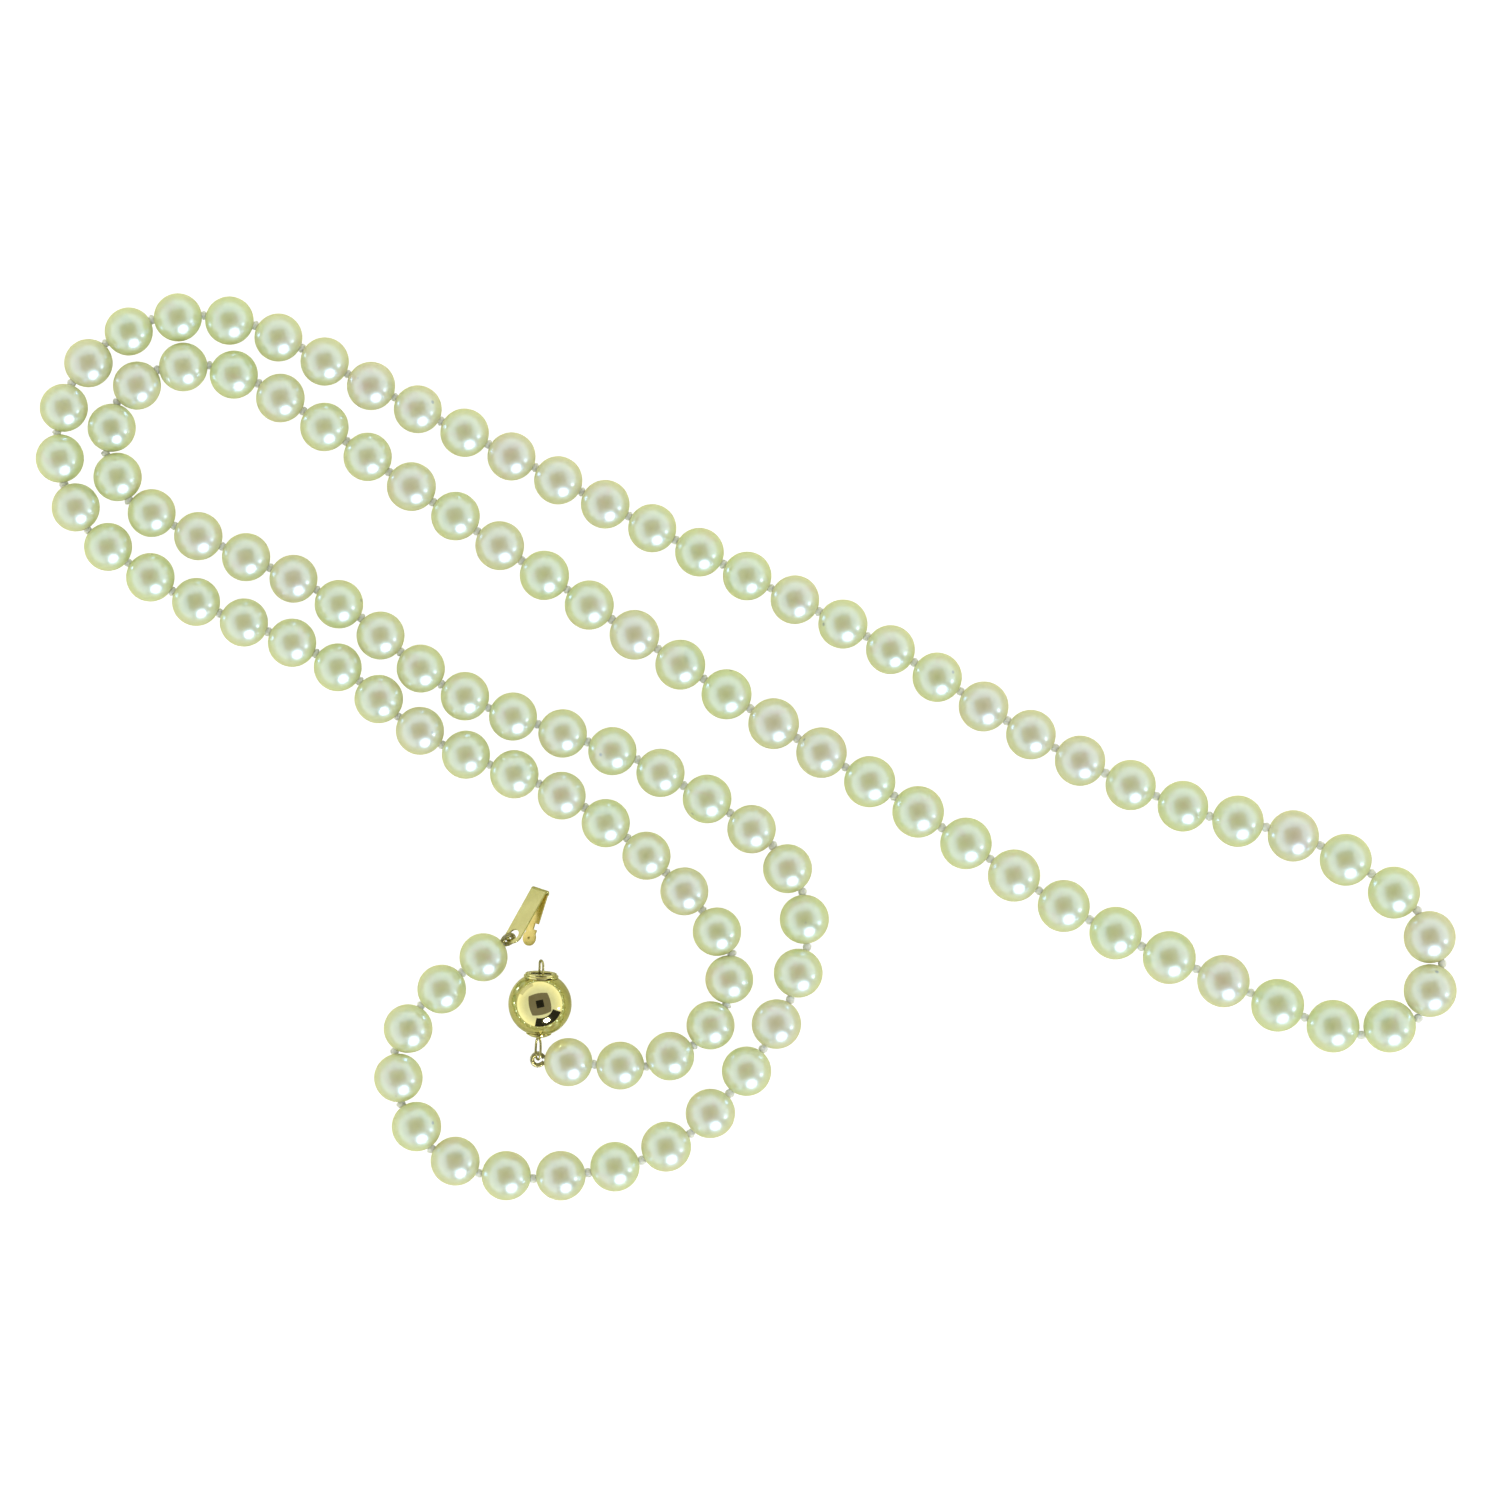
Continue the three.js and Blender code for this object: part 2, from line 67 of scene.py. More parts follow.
# The line that the strand follows on the table, in mm, from the ball clasp round to the tongue.
ROUTE = [
    (-29.5, -44), (-11, -44), (-2, -31.5), (-21.5, -9.5), (-47, 2.5),
    (-58.5, 12), (-84.5, 24), (-96, 34), (-98, 48.5), (-89, 59.5),
    (-75, 61.5), (-53.5, 51.5), (-8, 28.5), (20.5, 14), (41, 1.5),
    (62.5, -8.5), (80, -13), (97.5, -26.5), (97, -35.5), (89, -40.5),
    (65.5, -32), (45, -22.5), (23.5, -8.5), (-3.5, 8), (-49, 38),
    (-67.5, 50.5), (-75.5, 54.5), (-88, 52.5), (-91, 44), (-91, 38),
    (-58.5, 21), (-42.5, 8.5), (-13, -3), (6, -17), (7.5, -30.5),
    (-11.5, -56.5), (-42, -59), (-50.5, -47), (-48.5, -38.5), (-34, -26.6),
]
ROUTE_STEPS = 40
HALVINGS = 30  # how often step_along halves its search between two samples


def swell(pearl, peak, spread, more):
    """What a smooth hump centred on one pearl adds at another."""
    return more * math.exp(-(((pearl - peak) / spread) ** 2))


def pearl_diameter(n):
    graded = PEARL_DIAMETER + swell(n, *CENTRE_SIZE) + swell(n, *TAIL_SIZE)
    return graded + PEARL_VARIATION * math.sin(VARIATION_STEP * n)


def knot_gap(n):
    return KNOT_GAP + swell(n, *CENTRE_GAP) + swell(n, *TAIL_GAP)


def centripetal(points, steps):
    """A centripetal Catmull-Rom curve through the points, sampled evenly between each two."""
    ends = [2 * points[0] - points[1], *points, 2 * points[-1] - points[-2]]
    samples = []
    for before, start, end, after in zip(ends, ends[1:], ends[2:], ends[3:]):
        first, middle, last = (
            math.sqrt((b - a).length) for a, b in ((before, start), (start, end), (end, after))
        )
        across = (end - start) / middle
        leaving = (start - before) / first - (end - before) / (first + middle) + across
        arriving = across - (after - start) / (middle + last) + (after - end) / last
        leaving, arriving = leaving * middle, arriving * middle
        for step in range(steps):
            t = step / steps
            square = -3 * start + 3 * end - 2 * leaving - arriving
            cube = 2 * start - 2 * end + leaving + arriving
            samples.append(start + leaving * t + square * t**2 + cube * t**3)
    samples.append(points[-1].copy())
    return samples


def step_along(samples, distances):
    """The points along a sampled line at the given straight distances from one another."""
    found = [samples[0]]
    index = 0
    for distance in distances:
        while index < len(samples) - 2 and (samples[index + 1] - found[-1]).length < distance:
            index += 1
        near, far = 0, 1
        for _ in range(HALVINGS):
            middle = (near + far) / 2
            if (samples[index].lerp(samples[index + 1], middle) - found[-1]).length < distance:
                near = middle
            else:
                far = middle
        found.append(samples[index].lerp(samples[index + 1], far))
    return found


def lay_strand():
    """(centre, radius) of each pearl, and the knots, in metres. Knots n - 1 and n are at pearl n's ends."""
    numbers = range(1, PEARL_COUNT + 1)
    samples = centripetal([Vector((x, y, 0)) for x, y in ROUTE], ROUTE_STEPS)
    knots = step_along(samples, [pearl_diameter(n) + knot_gap(n) for n in numbers])
    radii = [pearl_diameter(n) / 2 for n in numbers]
    centres = [(knots[n - 1] + knots[n]) / 2 + UP * radii[n - 1] for n in numbers]
    heights = [radii[0], *((a + b) / 2 for a, b in zip(radii, radii[1:])), radii[-1]]
    knots = [(knot + UP * height) * MM for knot, height in zip(knots, heights)]
    return [(centre * MM, radius * MM) for centre, radius in zip(centres, radii)], knots


pearls, knots = lay_strand()


def centre_of(n):
    return pearls[n - 1][0]


def section_of(n):
    """The first and last pearl of the section that pearl n belongs to."""
    if n <= SINGLES or n > PEARL_COUNT - SINGLES:
        return n, n
    first = SINGLES + 1 + (n - SINGLES - 1) // SECTION * SECTION
    return first, first + SECTION - 1


def section_label(first, last):
    return f"{first:03d}" if first == last else f"{first:03d}_{last:03d}"


sections = sorted({section_of(n) for n in range(1, PEARL_COUNT + 1)})


def strand_body(n):
    return "strand_" + section_label(*section_of(n))


# ---- The camera ----

PHOTO_WIDTH = 0.213  # what the photo takes in, at the height of the pearls' middles
CAMERA_HEIGHT = 1.2
SUBJECT_HEIGHT = 0.0035
SENSOR_WIDTH = 36
NEAREST_SEEN = 0.01


def add_camera():
    data = bpy.data.cameras.new("camera")
    data.sensor_width = SENSOR_WIDTH
    data.lens = SENSOR_WIDTH * (CAMERA_HEIGHT - SUBJECT_HEIGHT) / PHOTO_WIDTH
    data.clip_start = NEAREST_SEEN
    camera = bpy.data.objects.new("camera", data)
    camera.location = (0, 0, CAMERA_HEIGHT)
    bpy.context.scene.collection.objects.link(camera)
    bpy.context.scene.camera = camera


add_camera()


# ---- Meshes ----


def new_piece(name, vertices, faces, material):
    mesh = bpy.data.meshes.new(name)
    mesh.from_pydata([tuple(v) for v in vertices], [], faces)
    mesh.update()
    mesh.shade_smooth()
    mesh.materials.append(material)
    piece = bpy.data.objects.new(name, mesh)
    bpy.context.scene.collection.objects.link(piece)
    return piece


class Shape:
    """Vertices and faces gathered from several closed forms."""

    def __init__(self):
        self.vertices = []
        self.faces = []

    def add(self, vertices, faces):
        start = len(self.vertices)
        self.vertices.extend(vertices)
        self.faces.extend(tuple(start + i for i in face) for face in faces)

    def piece(self, name, material):
        return new_piece(name, self.vertices, self.faces, material)


def turned(profile, segments, place, wobble=None):
    """A profile of (distance from Z, height), with both ends on Z, turned about it and put in place."""
    vertices = [place @ Vector((0, 0, profile[0][1]))]
    rings = profile[1:-1]
    for r, z in rings:
        for k in range(segments):
            angle = 2 * math.pi * k / segments
            point = Vector((r * math.cos(angle), r * math.sin(angle), z))
            vertices.append(place @ (wobble(point) if wobble else point))
    vertices.append(place @ Vector((0, 0, profile[-1][1])))
    faces = []
    for k in range(segments):
        faces.append((0, 1 + (k + 1) % segments, 1 + k))
    for ring in range(len(rings) - 1):
        low = 1 + ring * segments
        high = low + segments
        for k in range(segments):
            after = (k + 1) % segments
            faces.append((low + k, low + after, high + after, high + k))
    last = len(vertices) - 1
    top = last - segments
    for k in range(segments):
        faces.append((last, top + k, top + (k + 1) % segments))
    return vertices, faces


def turned_ring(profile, segments, place):
    """A closed profile of (distance from Z, height), turned about it and put in place."""
    count = len(profile)
    vertices = []
    for k in range(segments):
        angle = 2 * math.pi * k / segments
        for r, z in profile:
            vertices.append(place @ Vector((r * math.cos(angle), r * math.sin(angle), z)))
    faces = []
    for k in range(segments):
        here, there = k * count, (k + 1) % segments * count
        for i in range(count):
            j = (i + 1) % count
            faces.append((here + i, there + i, there + j, here + j))
    return vertices, faces


def tube(points, radius, sides):
    """A round wire along points, closed at its ends."""
    count = len(points)
    side = None
    vertices, faces = [], []
    for i, point in enumerate(points):
        along = (points[min(i + 1, count - 1)] - points[max(i - 1, 0)]).normalized()
        if side is None:
            side = along.orthogonal().normalized()
        side = (side - along * side.dot(along)).normalized()
        other = along.cross(side)
        for k in range(sides):
            angle = 2 * math.pi * k / sides
            vertices.append(point + radius * (side * math.cos(angle) + other * math.sin(angle)))
    for i in range(count - 1):
        for k in range(sides):
            after = (k + 1) % sides
            low, high = i * sides, (i + 1) * sides
            faces.append((low + k, low + after, high + after, high + k))
    faces.append(tuple(reversed(range(sides))))
    faces.append(tuple((count - 1) * sides + k for k in range(sides)))
    return vertices, faces


def aim(origin, direction, roll=0.0):
    """A frame at origin whose Z axis points along direction."""
    turn = UP.rotation_difference(direction.normalized()).to_matrix().to_4x4()
    return Matrix.Translation(origin) @ turn @ Matrix.Rotation(roll, 4, "Z")


# ---- Materials ----

PIT_SOFTNESS = 0.01
PIT_SIZE = (0.06, 0.14)  # where a pit starts and stops fading out, as shares of its cell


class Recipe:
    """A material under construction, with its main shader and short ways to add nodes."""

    def __init__(self, name):
        self.material = bpy.data.materials.new(name)
        self.material.use_nodes = True
        self.nodes = self.material.node_tree.nodes
        self.links = self.material.node_tree.links
        self.shader = self.nodes["Principled BSDF"]
        coordinates = self.nodes.new("ShaderNodeTexCoord")
        self.place = coordinates.outputs["Object"]

    def set(self, **values):
        for name, value in values.items():
            self.shader.inputs[name.replace("_", " ")].default_value = value

    def noise(self, scale, detail=3.0, roughness=0.5, distortion=0.0):
        node = self.nodes.new("ShaderNodeTexNoise")
        node.inputs["Scale"].default_value = scale
        node.inputs["Detail"].default_value = detail
        node.inputs["Roughness"].default_value = roughness
        node.inputs["Distortion"].default_value = distortion
        self.links.new(self.place, node.inputs["Vector"])
        return node.outputs["Fac"]

    def ramp(self, source, stops):
        node = self.nodes.new("ShaderNodeValToRGB")
        elements = node.color_ramp.elements
        while len(elements) < len(stops):
            elements.new(0.5)
        for element, (position, colour) in zip(elements, stops):
            element.position = position
            element.color = (*colour, 1)
        self.links.new(source, node.inputs["Fac"])
        return node.outputs["Color"]

    def spread(self, source, low, high, from_low=0.3, from_high=0.7):
        node = self.nodes.new("ShaderNodeMapRange")
        node.inputs["From Min"].default_value = from_low
        node.inputs["From Max"].default_value = from_high
        node.inputs["To Min"].default_value = low
        node.inputs["To Max"].default_value = high
        self.links.new(source, node.inputs["Value"])
        return node.outputs["Result"]

    def mix(self, kind, factor, a, b):
        node = self.nodes.new("ShaderNodeMix")
        node.data_type = "RGBA"
        node.blend_type = kind
        if isinstance(factor, float):
            node.inputs[0].default_value = factor
        else:
            self.links.new(factor, node.inputs[0])
        colours = [s for s in node.inputs if s.type == "RGBA"]
        for socket, value in zip(colours, (a, b)):
            if isinstance(value, tuple):
                socket.default_value = (*value, 1)
            else:
                self.links.new(value, socket)
        return next(s for s in node.outputs if s.type == "RGBA")

    def pits(self, scale, share):
        """1 in small scattered spots and 0 elsewhere. share is about how many of the cells hold one."""
        cells = self.nodes.new("ShaderNodeTexVoronoi")
        cells.inputs["Scale"].default_value = scale
        self.links.new(self.place, cells.inputs["Vector"])
        pick = self.nodes.new("ShaderNodeSeparateColor")
        self.links.new(cells.outputs["Color"], pick.inputs["Color"])
        chosen = self.spread(pick.outputs["Red"], 0.0, 1.0, 1 - share, 1 - share + PIT_SOFTNESS)
        spot = self.spread(cells.outputs["Distance"], 1.0, 0.0, *PIT_SIZE)
        both = self.nodes.new("ShaderNodeMath")
        both.operation = "MULTIPLY"
        self.links.new(chosen, both.inputs[0])
        self.links.new(spot, both.inputs[1])
        return both.outputs["Value"]

    def attribute(self, name):
        node = self.nodes.new("ShaderNodeAttribute")
        node.attribute_name = name
        return node.outputs["Fac"]

    def bump(self, height, strength, distance, under=None):
        node = self.nodes.new("ShaderNodeBump")
        node.inputs["Strength"].default_value = strength
        node.inputs["Distance"].default_value = distance
        self.links.new(height, node.inputs["Height"])
        if under is not None:
            self.links.new(under, node.inputs["Normal"])
        return node.outputs["Normal"]

    def feed(self, **sources):
        for name, source in sources.items():
            self.links.new(source, self.shader.inputs[name.replace("_", " ")])


# From greenest to pinkest: each pearl has one tone, from 0 to 1.
NACRE_TONES = [(0.0, (0.90, 0.93, 0.38)), (0.5, (0.94, 0.91, 0.42)), (1.0, (0.96, 0.86, 0.47))]
CLOUD_TINTS = [
    (0.30, (0.88, 0.93, 0.84)),
    (0.42, (0.99, 1.0, 0.92)),
    (0.56, (1.0, 0.99, 0.98)),
    (0.70, (0.99, 0.88, 0.86)),
]
CLOUD_SCALE = 260
PIT_SCALE = 380
PIT_SHARE = 0.10
PIT_COLOUR = (0.40, 0.36, 0.22)
PIT_DEPTH = 0.00008
RIPPLE_SCALE = 600
RIPPLE_DEPTH = 0.0001
SILK_TINTS = [(0.3, (0.93, 0.95, 0.80)), (0.7, (1.0, 1.0, 0.91))]
FIBRE_SCALE = 5200
FIBRE_DEPTH = 0.00006
PATINA_SCALE = 420
HAIRLINE_SCALE = 3800
HAIRLINE_DEPTH = 0.00001


def nacre_material():
    """Cream nacre: a yellow-green body, mottled and pitted here and there, under a hard, cool lustre."""
    m = Recipe("nacre")
    body = m.ramp(m.attribute("tone"), NACRE_TONES)
    clouds = m.noise(CLOUD_SCALE, detail=3, roughness=0.55, distortion=0.5)
    body = m.mix("MULTIPLY", 1.0, body, m.ramp(clouds, CLOUD_TINTS))
    pits = m.pits(PIT_SCALE, PIT_SHARE)
    body = m.mix("MIX", pits, body, PIT_COLOUR)
    ripples = m.noise(RIPPLE_SCALE, detail=2, distortion=0.8)
    normal = m.bump(ripples, 0.05, RIPPLE_DEPTH)
    normal = m.bump(pits, -0.5, PIT_DEPTH, normal)
    m.feed(Base_Color=body, Roughness=m.spread(clouds, 0.29, 0.35), Normal=normal)
    m.set(
        IOR=2.8,
        Specular_IOR_Level=1.0,
        Specular_Tint=(0.40, 0.58, 0.82, 1),
        Coat_Weight=0.45,
        Coat_Roughness=0.07,
        Coat_IOR=1.5,
        Sheen_Weight=1.0,
        Sheen_Roughness=0.4,
        Sheen_Tint=(0.95, 0.95, 0.42, 1),
        Subsurface_Weight=0.2,
        Subsurface_Radius=(1.0, 0.9, 0.5),
        Subsurface_Scale=0.0008,
    )
    return m.material


def silk_material():
    """Twisted silk thread, off-white with fibres that catch the light."""
    m = Recipe("silk")
    fibres = m.noise(FIBRE_SCALE, detail=4, roughness=0.7, distortion=2.0)
    colour = m.ramp(fibres, SILK_TINTS)
    m.feed(Base_Color=colour, Normal=m.bump(fibres, 0.5, FIBRE_DEPTH))
    m.set(
        Roughness=0.65,
        Sheen_Weight=1.0,
        Sheen_Roughness=0.5,
        Subsurface_Weight=0.6,
        Subsurface_Radius=(1.0, 1.0, 0.9),
        Subsurface_Scale=0.0008,
    )
    return m.material


def gold_material(name, light, dark, rough, scratches):
    """Polished 14 carat gold with faint cloudiness and hairline wear."""
    m = Recipe(name)
    patina = m.noise(PATINA_SCALE, detail=4, roughness=0.6)
    hairlines = m.noise(HAIRLINE_SCALE, detail=5, roughness=0.75, distortion=3.0)
    m.feed(
        Base_Color=m.ramp(patina, [(0.3, dark), (0.65, light)]),
        Roughness=m.spread(hairlines, rough, rough + scratches),
        Normal=m.bump(hairlines, 0.02, HAIRLINE_DEPTH),
    )
    m.set(Metallic=1.0, IOR=1.5)
    return m.material


nacre = nacre_material()
silk = silk_material()
gold = gold_material("gold", (0.71, 0.66, 0.30), (0.64, 0.58, 0.24), 0.03, 0.05)
tongue_gold = gold_material("tongue_gold", (0.70, 0.66, 0.30), (0.62, 0.58, 0.25), 0.12, 0.10)
# The spring leaf's gold is the same alloy made darker and more orange: painted shade for the leaf lying
# under the strip.
leaf_gold = gold_material("leaf_gold", (0.72, 0.60, 0.24), (0.60, 0.47, 0.15), 0.20, 0.12)
# The wires' gold is the same alloy made darker: painted shade for the gaps of the wound coil, which darkens
# the staple and eyelet wires too.
wire_gold = gold_material("wire_gold", (0.54, 0.50, 0.22), (0.40, 0.36, 0.14), 0.20, 0.14)

# ---- Pearls ----

PEARL_SEGMENTS = 44
PEARL_RINGS = 30
PEARL_STRETCH = 0.006  # how far out of round a pearl may be
DENTS = [0.002, 0.003, 0.003, 0.004, 0.007]  # how deep its dents are, as shares of its radius
BROAD_DENTS = 1.4
FINE_DENTS = 3.5
FINE_SHARE = 0.4
SURFACE_START = 0.97  # points nearer the middle than this share of the radius belong to the hole
TONE_SEED = 1000
HOLE_RADIUS = 0.36 * MM
HOLE_DEPTH = 0.7 * MM
HOLE_LIP = 0.1 * MM


def pearl_profile(radius):
    """From one drilled end to the other: the hole's bottom, its wall, its worn lip and the round pearl."""
    lip = HOLE_RADIUS + HOLE_LIP
    first = math.asin(lip / radius)
    half = [
        (0, radius - HOLE_DEPTH),
        (HOLE_RADIUS * 0.9, radius - HOLE_DEPTH),
        (HOLE_RADIUS, radius - HOLE_DEPTH * 0.5),
        (HOLE_RADIUS, radius - HOLE_LIP * 1.2),
    ]
    around = []
    for ring in range(PEARL_RINGS + 1):
        angle = first + (math.pi - 2 * first) * ring / PEARL_RINGS
        around.append((radius * math.sin(angle), -radius * math.cos(angle)))
    low = [(r, -z) for r, z in half]
    high = list(reversed(half))
    return low + around + high


def add_pearl(shape, n):
    """One drilled pearl, a little out of round, with its own slight dents."""
    centre, radius = pearls[n - 1]
    seed = Vector((n * 3.7, n * 1.3, n * 0.71))
    draw = random.Random(n)
    stretch = 1 + draw.uniform(-PEARL_STRETCH, PEARL_STRETCH)
    dent = draw.choice(DENTS)

    def wobble(point):
        if point.length < radius * SURFACE_START:
            return point
        direction = point.normalized()
        broad = noise.noise(direction * BROAD_DENTS + seed)
        fine = noise.noise(direction * FINE_DENTS - seed)
        grown = point * (1 + dent * (broad + FINE_SHARE * fine))
        return Vector((grown.x * stretch, grown.y / stretch, grown.z))

    place = aim(centre, knots[n] - knots[n - 1], draw.uniform(0, math.tau))
    shape.add(*turned(pearl_profile(radius), PEARL_SEGMENTS, place, wobble))


def pearl_pieces():
    for first, last in sections:
        label = section_label(first, last)
        shape = Shape()
        tones = []
        for n in range(first, last + 1):
            start = len(shape.vertices)
            add_pearl(shape, n)
            tone = random.Random(TONE_SEED + n).random()
            tones += [tone] * (len(shape.vertices) - start)
        prefix = "pearl" if first == last else "pearls"
        piece = shape.piece(f"nacre_{prefix}_{label}", nacre)
        piece.data.attributes.new("tone", "FLOAT", "POINT").data.foreach_set("value", tones)
        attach(piece, strand_body(first))
        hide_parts(f"{prefix}_{label}")


pearl_pieces()

# ---- Silk knots ----

KNOT_RADIUS = 0.64 * MM
KNOT_SPREAD = (0.93, 1.07)  # the smallest and largest knot, as shares of KNOT_RADIUS
KNOT_DRIFT = 0.1 * MM
KNOT_TUCK = 0.17 * MM  # how far a knot's narrow ends reach into the pearls' holes
KNOT_SEGMENTS = 30
KNOT_RINGS = 14
KNOT_CUT = 0.10  # the share of a half circle left out at each end of a knot
KNOT_FULLNESS = 0.9  # under 1 is fuller than a ball
KNOT_STRANDS = 5
KNOT_TWIST = 4
STRAND_HEIGHT = 0.06
LUMP_HEIGHT = 0.10
KNOT_SEED = 500
THREAD_RADIUS = 0.2 * MM
THREAD_REACH = 0.8  # how far down the hole the thread is made, as a share of the hole's depth


def add_knot(shape, n):
    """The knot between pearl n and the next: a thread into both holes with an overhand knot on it."""
    knot = knots[n]
    along = (centre_of(n + 1) - centre_of(n)).normalized()
    gap = knot_gap(n) * MM
    draw = random.Random(KNOT_SEED + n)
    place = aim(knot, along, draw.uniform(0, math.tau))
    half = gap / 2 + KNOT_TUCK
    reach = gap / 2 + HOLE_DEPTH * THREAD_REACH
    fat = KNOT_RADIUS * draw.uniform(*KNOT_SPREAD)
    profile = [(0, -reach), (THREAD_RADIUS, -reach), (THREAD_RADIUS, -half)]
    for ring in range(KNOT_RINGS + 1):
        angle = math.pi * (KNOT_CUT + (1 - 2 * KNOT_CUT) * ring / KNOT_RINGS)
        profile.append((fat * math.sin(angle) ** KNOT_FULLNESS, -half * math.cos(angle)))
    profile += [(THREAD_RADIUS, half), (THREAD_RADIUS, reach), (0, reach)]
    phase = draw.uniform(0, math.tau)
    drift = Vector((draw.uniform(-1, 1), draw.uniform(-1, 1), 0)) * KNOT_DRIFT

    def wobble(point):
        r = math.hypot(point.x, point.y)
        if r < THREAD_RADIUS * 1.05:
            return point
        angle = math.atan2(point.y, point.x)
        strands = math.cos(KNOT_STRANDS * angle + KNOT_TWIST * point.z / half + phase)
        lump = math.cos(angle + phase)
        scale = 1 + STRAND_HEIGHT * strands + LUMP_HEIGHT * lump
        return Vector((point.x * scale, point.y * scale, point.z)) + drift

    shape.add(*turned(profile, KNOT_SEGMENTS, place, wobble))


def inner_knot_pieces():
    """The two knots inside each three-pearl section."""
    for first, last in sections:
        if first == last:
            continue
        shape = Shape()
        for n in range(first, last):
            add_knot(shape, n)
        piece = shape.piece(f"silk_knots_{section_label(first, last)}", silk)
        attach(piece, strand_body(first))


def jointed_knot_pieces():
    """The knots that the strand bends on, one at each join between two sections."""
    for _, last in sections[:-1]:
        shape = Shape()
        add_knot(shape, last)
        piece = shape.piece(f"silk_knot_{last:03d}_{last + 1:03d}", silk)
        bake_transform(piece)
        if last <= SINGLES:
            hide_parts(f"silk_thread_{last:03d}")
        if last >= PEARL_COUNT - SINGLES:
            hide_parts(f"silk_thread_{last + 1:03d}")


inner_knot_pieces()
jointed_knot_pieces()

# ---- The wound loops at the strand's ends ----

LOOP_RADIUS = 0.85 * MM
LOOP_CLEARANCE = 0.03 * MM
COIL_RADIUS = 0.29 * MM
COIL_WIRE = 0.065 * MM
COIL_PITCH = 0.15 * MM
COIL_STEPS = 14
COIL_SIDES = 6
LOOP_STEPS = 60
LOOP_START = 32  # degrees from the pearl at which the winding starts and ends
LOOP_STRETCH = 0.3
LOOP_PINCH = 0.4
SILK_RADIUS = 0.15 * MM
SILK_SIDES = 10
SILK_REACH = 0.3  # how far into the pearl's hole the loop's silk goes, as a share of the hole's depth


def loop_place(n, knot):
    """The middle of the loop beyond an end pearl, and the direction back to the pearl."""
    centre, radius = pearls[n - 1]
    outward = (knot - centre).normalized()
    return centre + outward * (radius + LOOP_RADIUS + LOOP_CLEARANCE), -outward


def off_axis(vector, axis):
    """The part of a vector square to an axis, one long."""
    return (vector - axis * vector.dot(axis)).normalized()


def loop_path(middle, to_pearl, side, count):
    """A teardrop: out of the pearl's hole, round the loop and back in."""
    points = []
    for step in range(count + 1):
        angle = math.radians(LOOP_START + (360 - 2 * LOOP_START) * step / count)
        pull = max(0.0, math.cos(angle)) ** 2
        reach = LOOP_RADIUS * math.cos(angle) * (1 + LOOP_STRETCH * pull)
        width = LOOP_RADIUS * math.sin(angle) * (1 - LOOP_PINCH * pull)
        points.append(middle + to_pearl * reach + side * width)
    return points


def wound(path, radius, pitch, steps):
    """The line of a wire wound closely round a path."""
    lengths = [0.0]
    for a, b in zip(path, path[1:]):
        lengths.append(lengths[-1] + (b - a).length)
    turns = round(lengths[-1] / pitch)
    side = (path[1] - path[0]).orthogonal().normalized()
    points = []
    index = 0
    for step in range(turns * steps + 1):
        distance = lengths[-1] * step / (turns * steps)
        while index < len(path) - 2 and lengths[index + 1] < distance:
            index += 1
        share = (distance - lengths[index]) / (lengths[index + 1] - lengths[index])
        along = (path[index + 1] - path[index]).normalized()
        side = off_axis(side, along)
        angle = math.tau * step / steps
        spoke = side * math.cos(angle) + along.cross(side) * math.sin(angle)
        points.append(path[index].lerp(path[index + 1], share) + spoke * radius)
    return points


def loop_pieces(end, body, middle, to_pearl, side):
    """The wire wound round an end loop, and the silk inside it."""
    path = loop_path(middle, to_pearl, side, LOOP_STEPS)
    coil = Shape()
    coil.add(*tube(wound(path, COIL_RADIUS, COIL_PITCH, COIL_STEPS), COIL_WIRE, COIL_SIDES))
    wire = coil.piece(f"bullion_wire_{end}", wire_gold)
    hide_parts(f"bullion_loop_{end}")
    core = Shape()
    inside = middle + to_pearl * (LOOP_RADIUS + LOOP_CLEARANCE + HOLE_DEPTH * SILK_REACH)
    line = [inside + side * SILK_RADIUS, *path, inside - side * SILK_RADIUS]
    core.add(*tube(line, SILK_RADIUS, SILK_SIDES))
    thread = core.piece(f"silk_core_{end}", silk)
    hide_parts(f"silk_loop_{end}")
    for piece in (wire, thread):
        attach(piece, body)


# ---- The ball half of the clasp, in its own frame: +Y from the eyelet to the mouth, +Z up ----

BALL_RADIUS = 4.5 * MM
BALL_WALL = 0.35 * MM
BALL_SEGMENTS = 96
BALL_RINGS = 60
BALL_INNER_RINGS = 40
MOUTH_RADIUS = 2.05 * MM
BALL_LEAN = 2.5
BALL_TILT = 8.3
COLLAR_RADIUS = 2.45 * MM
COLLAR_TOP = 4.42 * MM
COLLAR_STEP = 0.2 * MM
COLLAR_FLARE = 0.04 * MM
COLLAR_SEGMENTS = 72
SEAT_GAP = 0.05 * MM
INNER_SEAT_GAP = 0.02 * MM
EDGE_ROUNDING = 0.05 * MM
PLATE_THICKNESS = 0.3 * MM
PLATE_GAP = 0.03 * MM
PLATE_SEGMENTS = 96
SLOT = (2.9 * MM, 1.5 * MM)
WIRE_RADIUS = 0.17 * MM
WIRE_SIDES = 16
WIRE_STEPS = 10
STAPLE_HALF = 0.8 * MM
STAPLE_HEIGHT = 1.75 * MM
STAPLE_PEAK = 0.45 * MM
STAPLE_TURN = 20
WASHER_RADIUS = 1.8 * MM
WASHER_THICKNESS = 0.3 * MM
WASHER_SEGMENTS = 64
EYELET_HALF = 0.85 * MM
EYELET_LENGTH = 3 * MM
EYELET_TURN = 25
EYELET_BEND_STEP = 30

ball_middle, ball_to_pearl = loop_place(1, knots[0])
ball_side = off_axis(Vector((0, 1, 0)), ball_to_pearl)

eyelet_foot = -BALL_RADIUS - WASHER_THICKNESS - 0.2 * MM
eyelet_bend = eyelet_foot - EYELET_LENGTH + EYELET_HALF

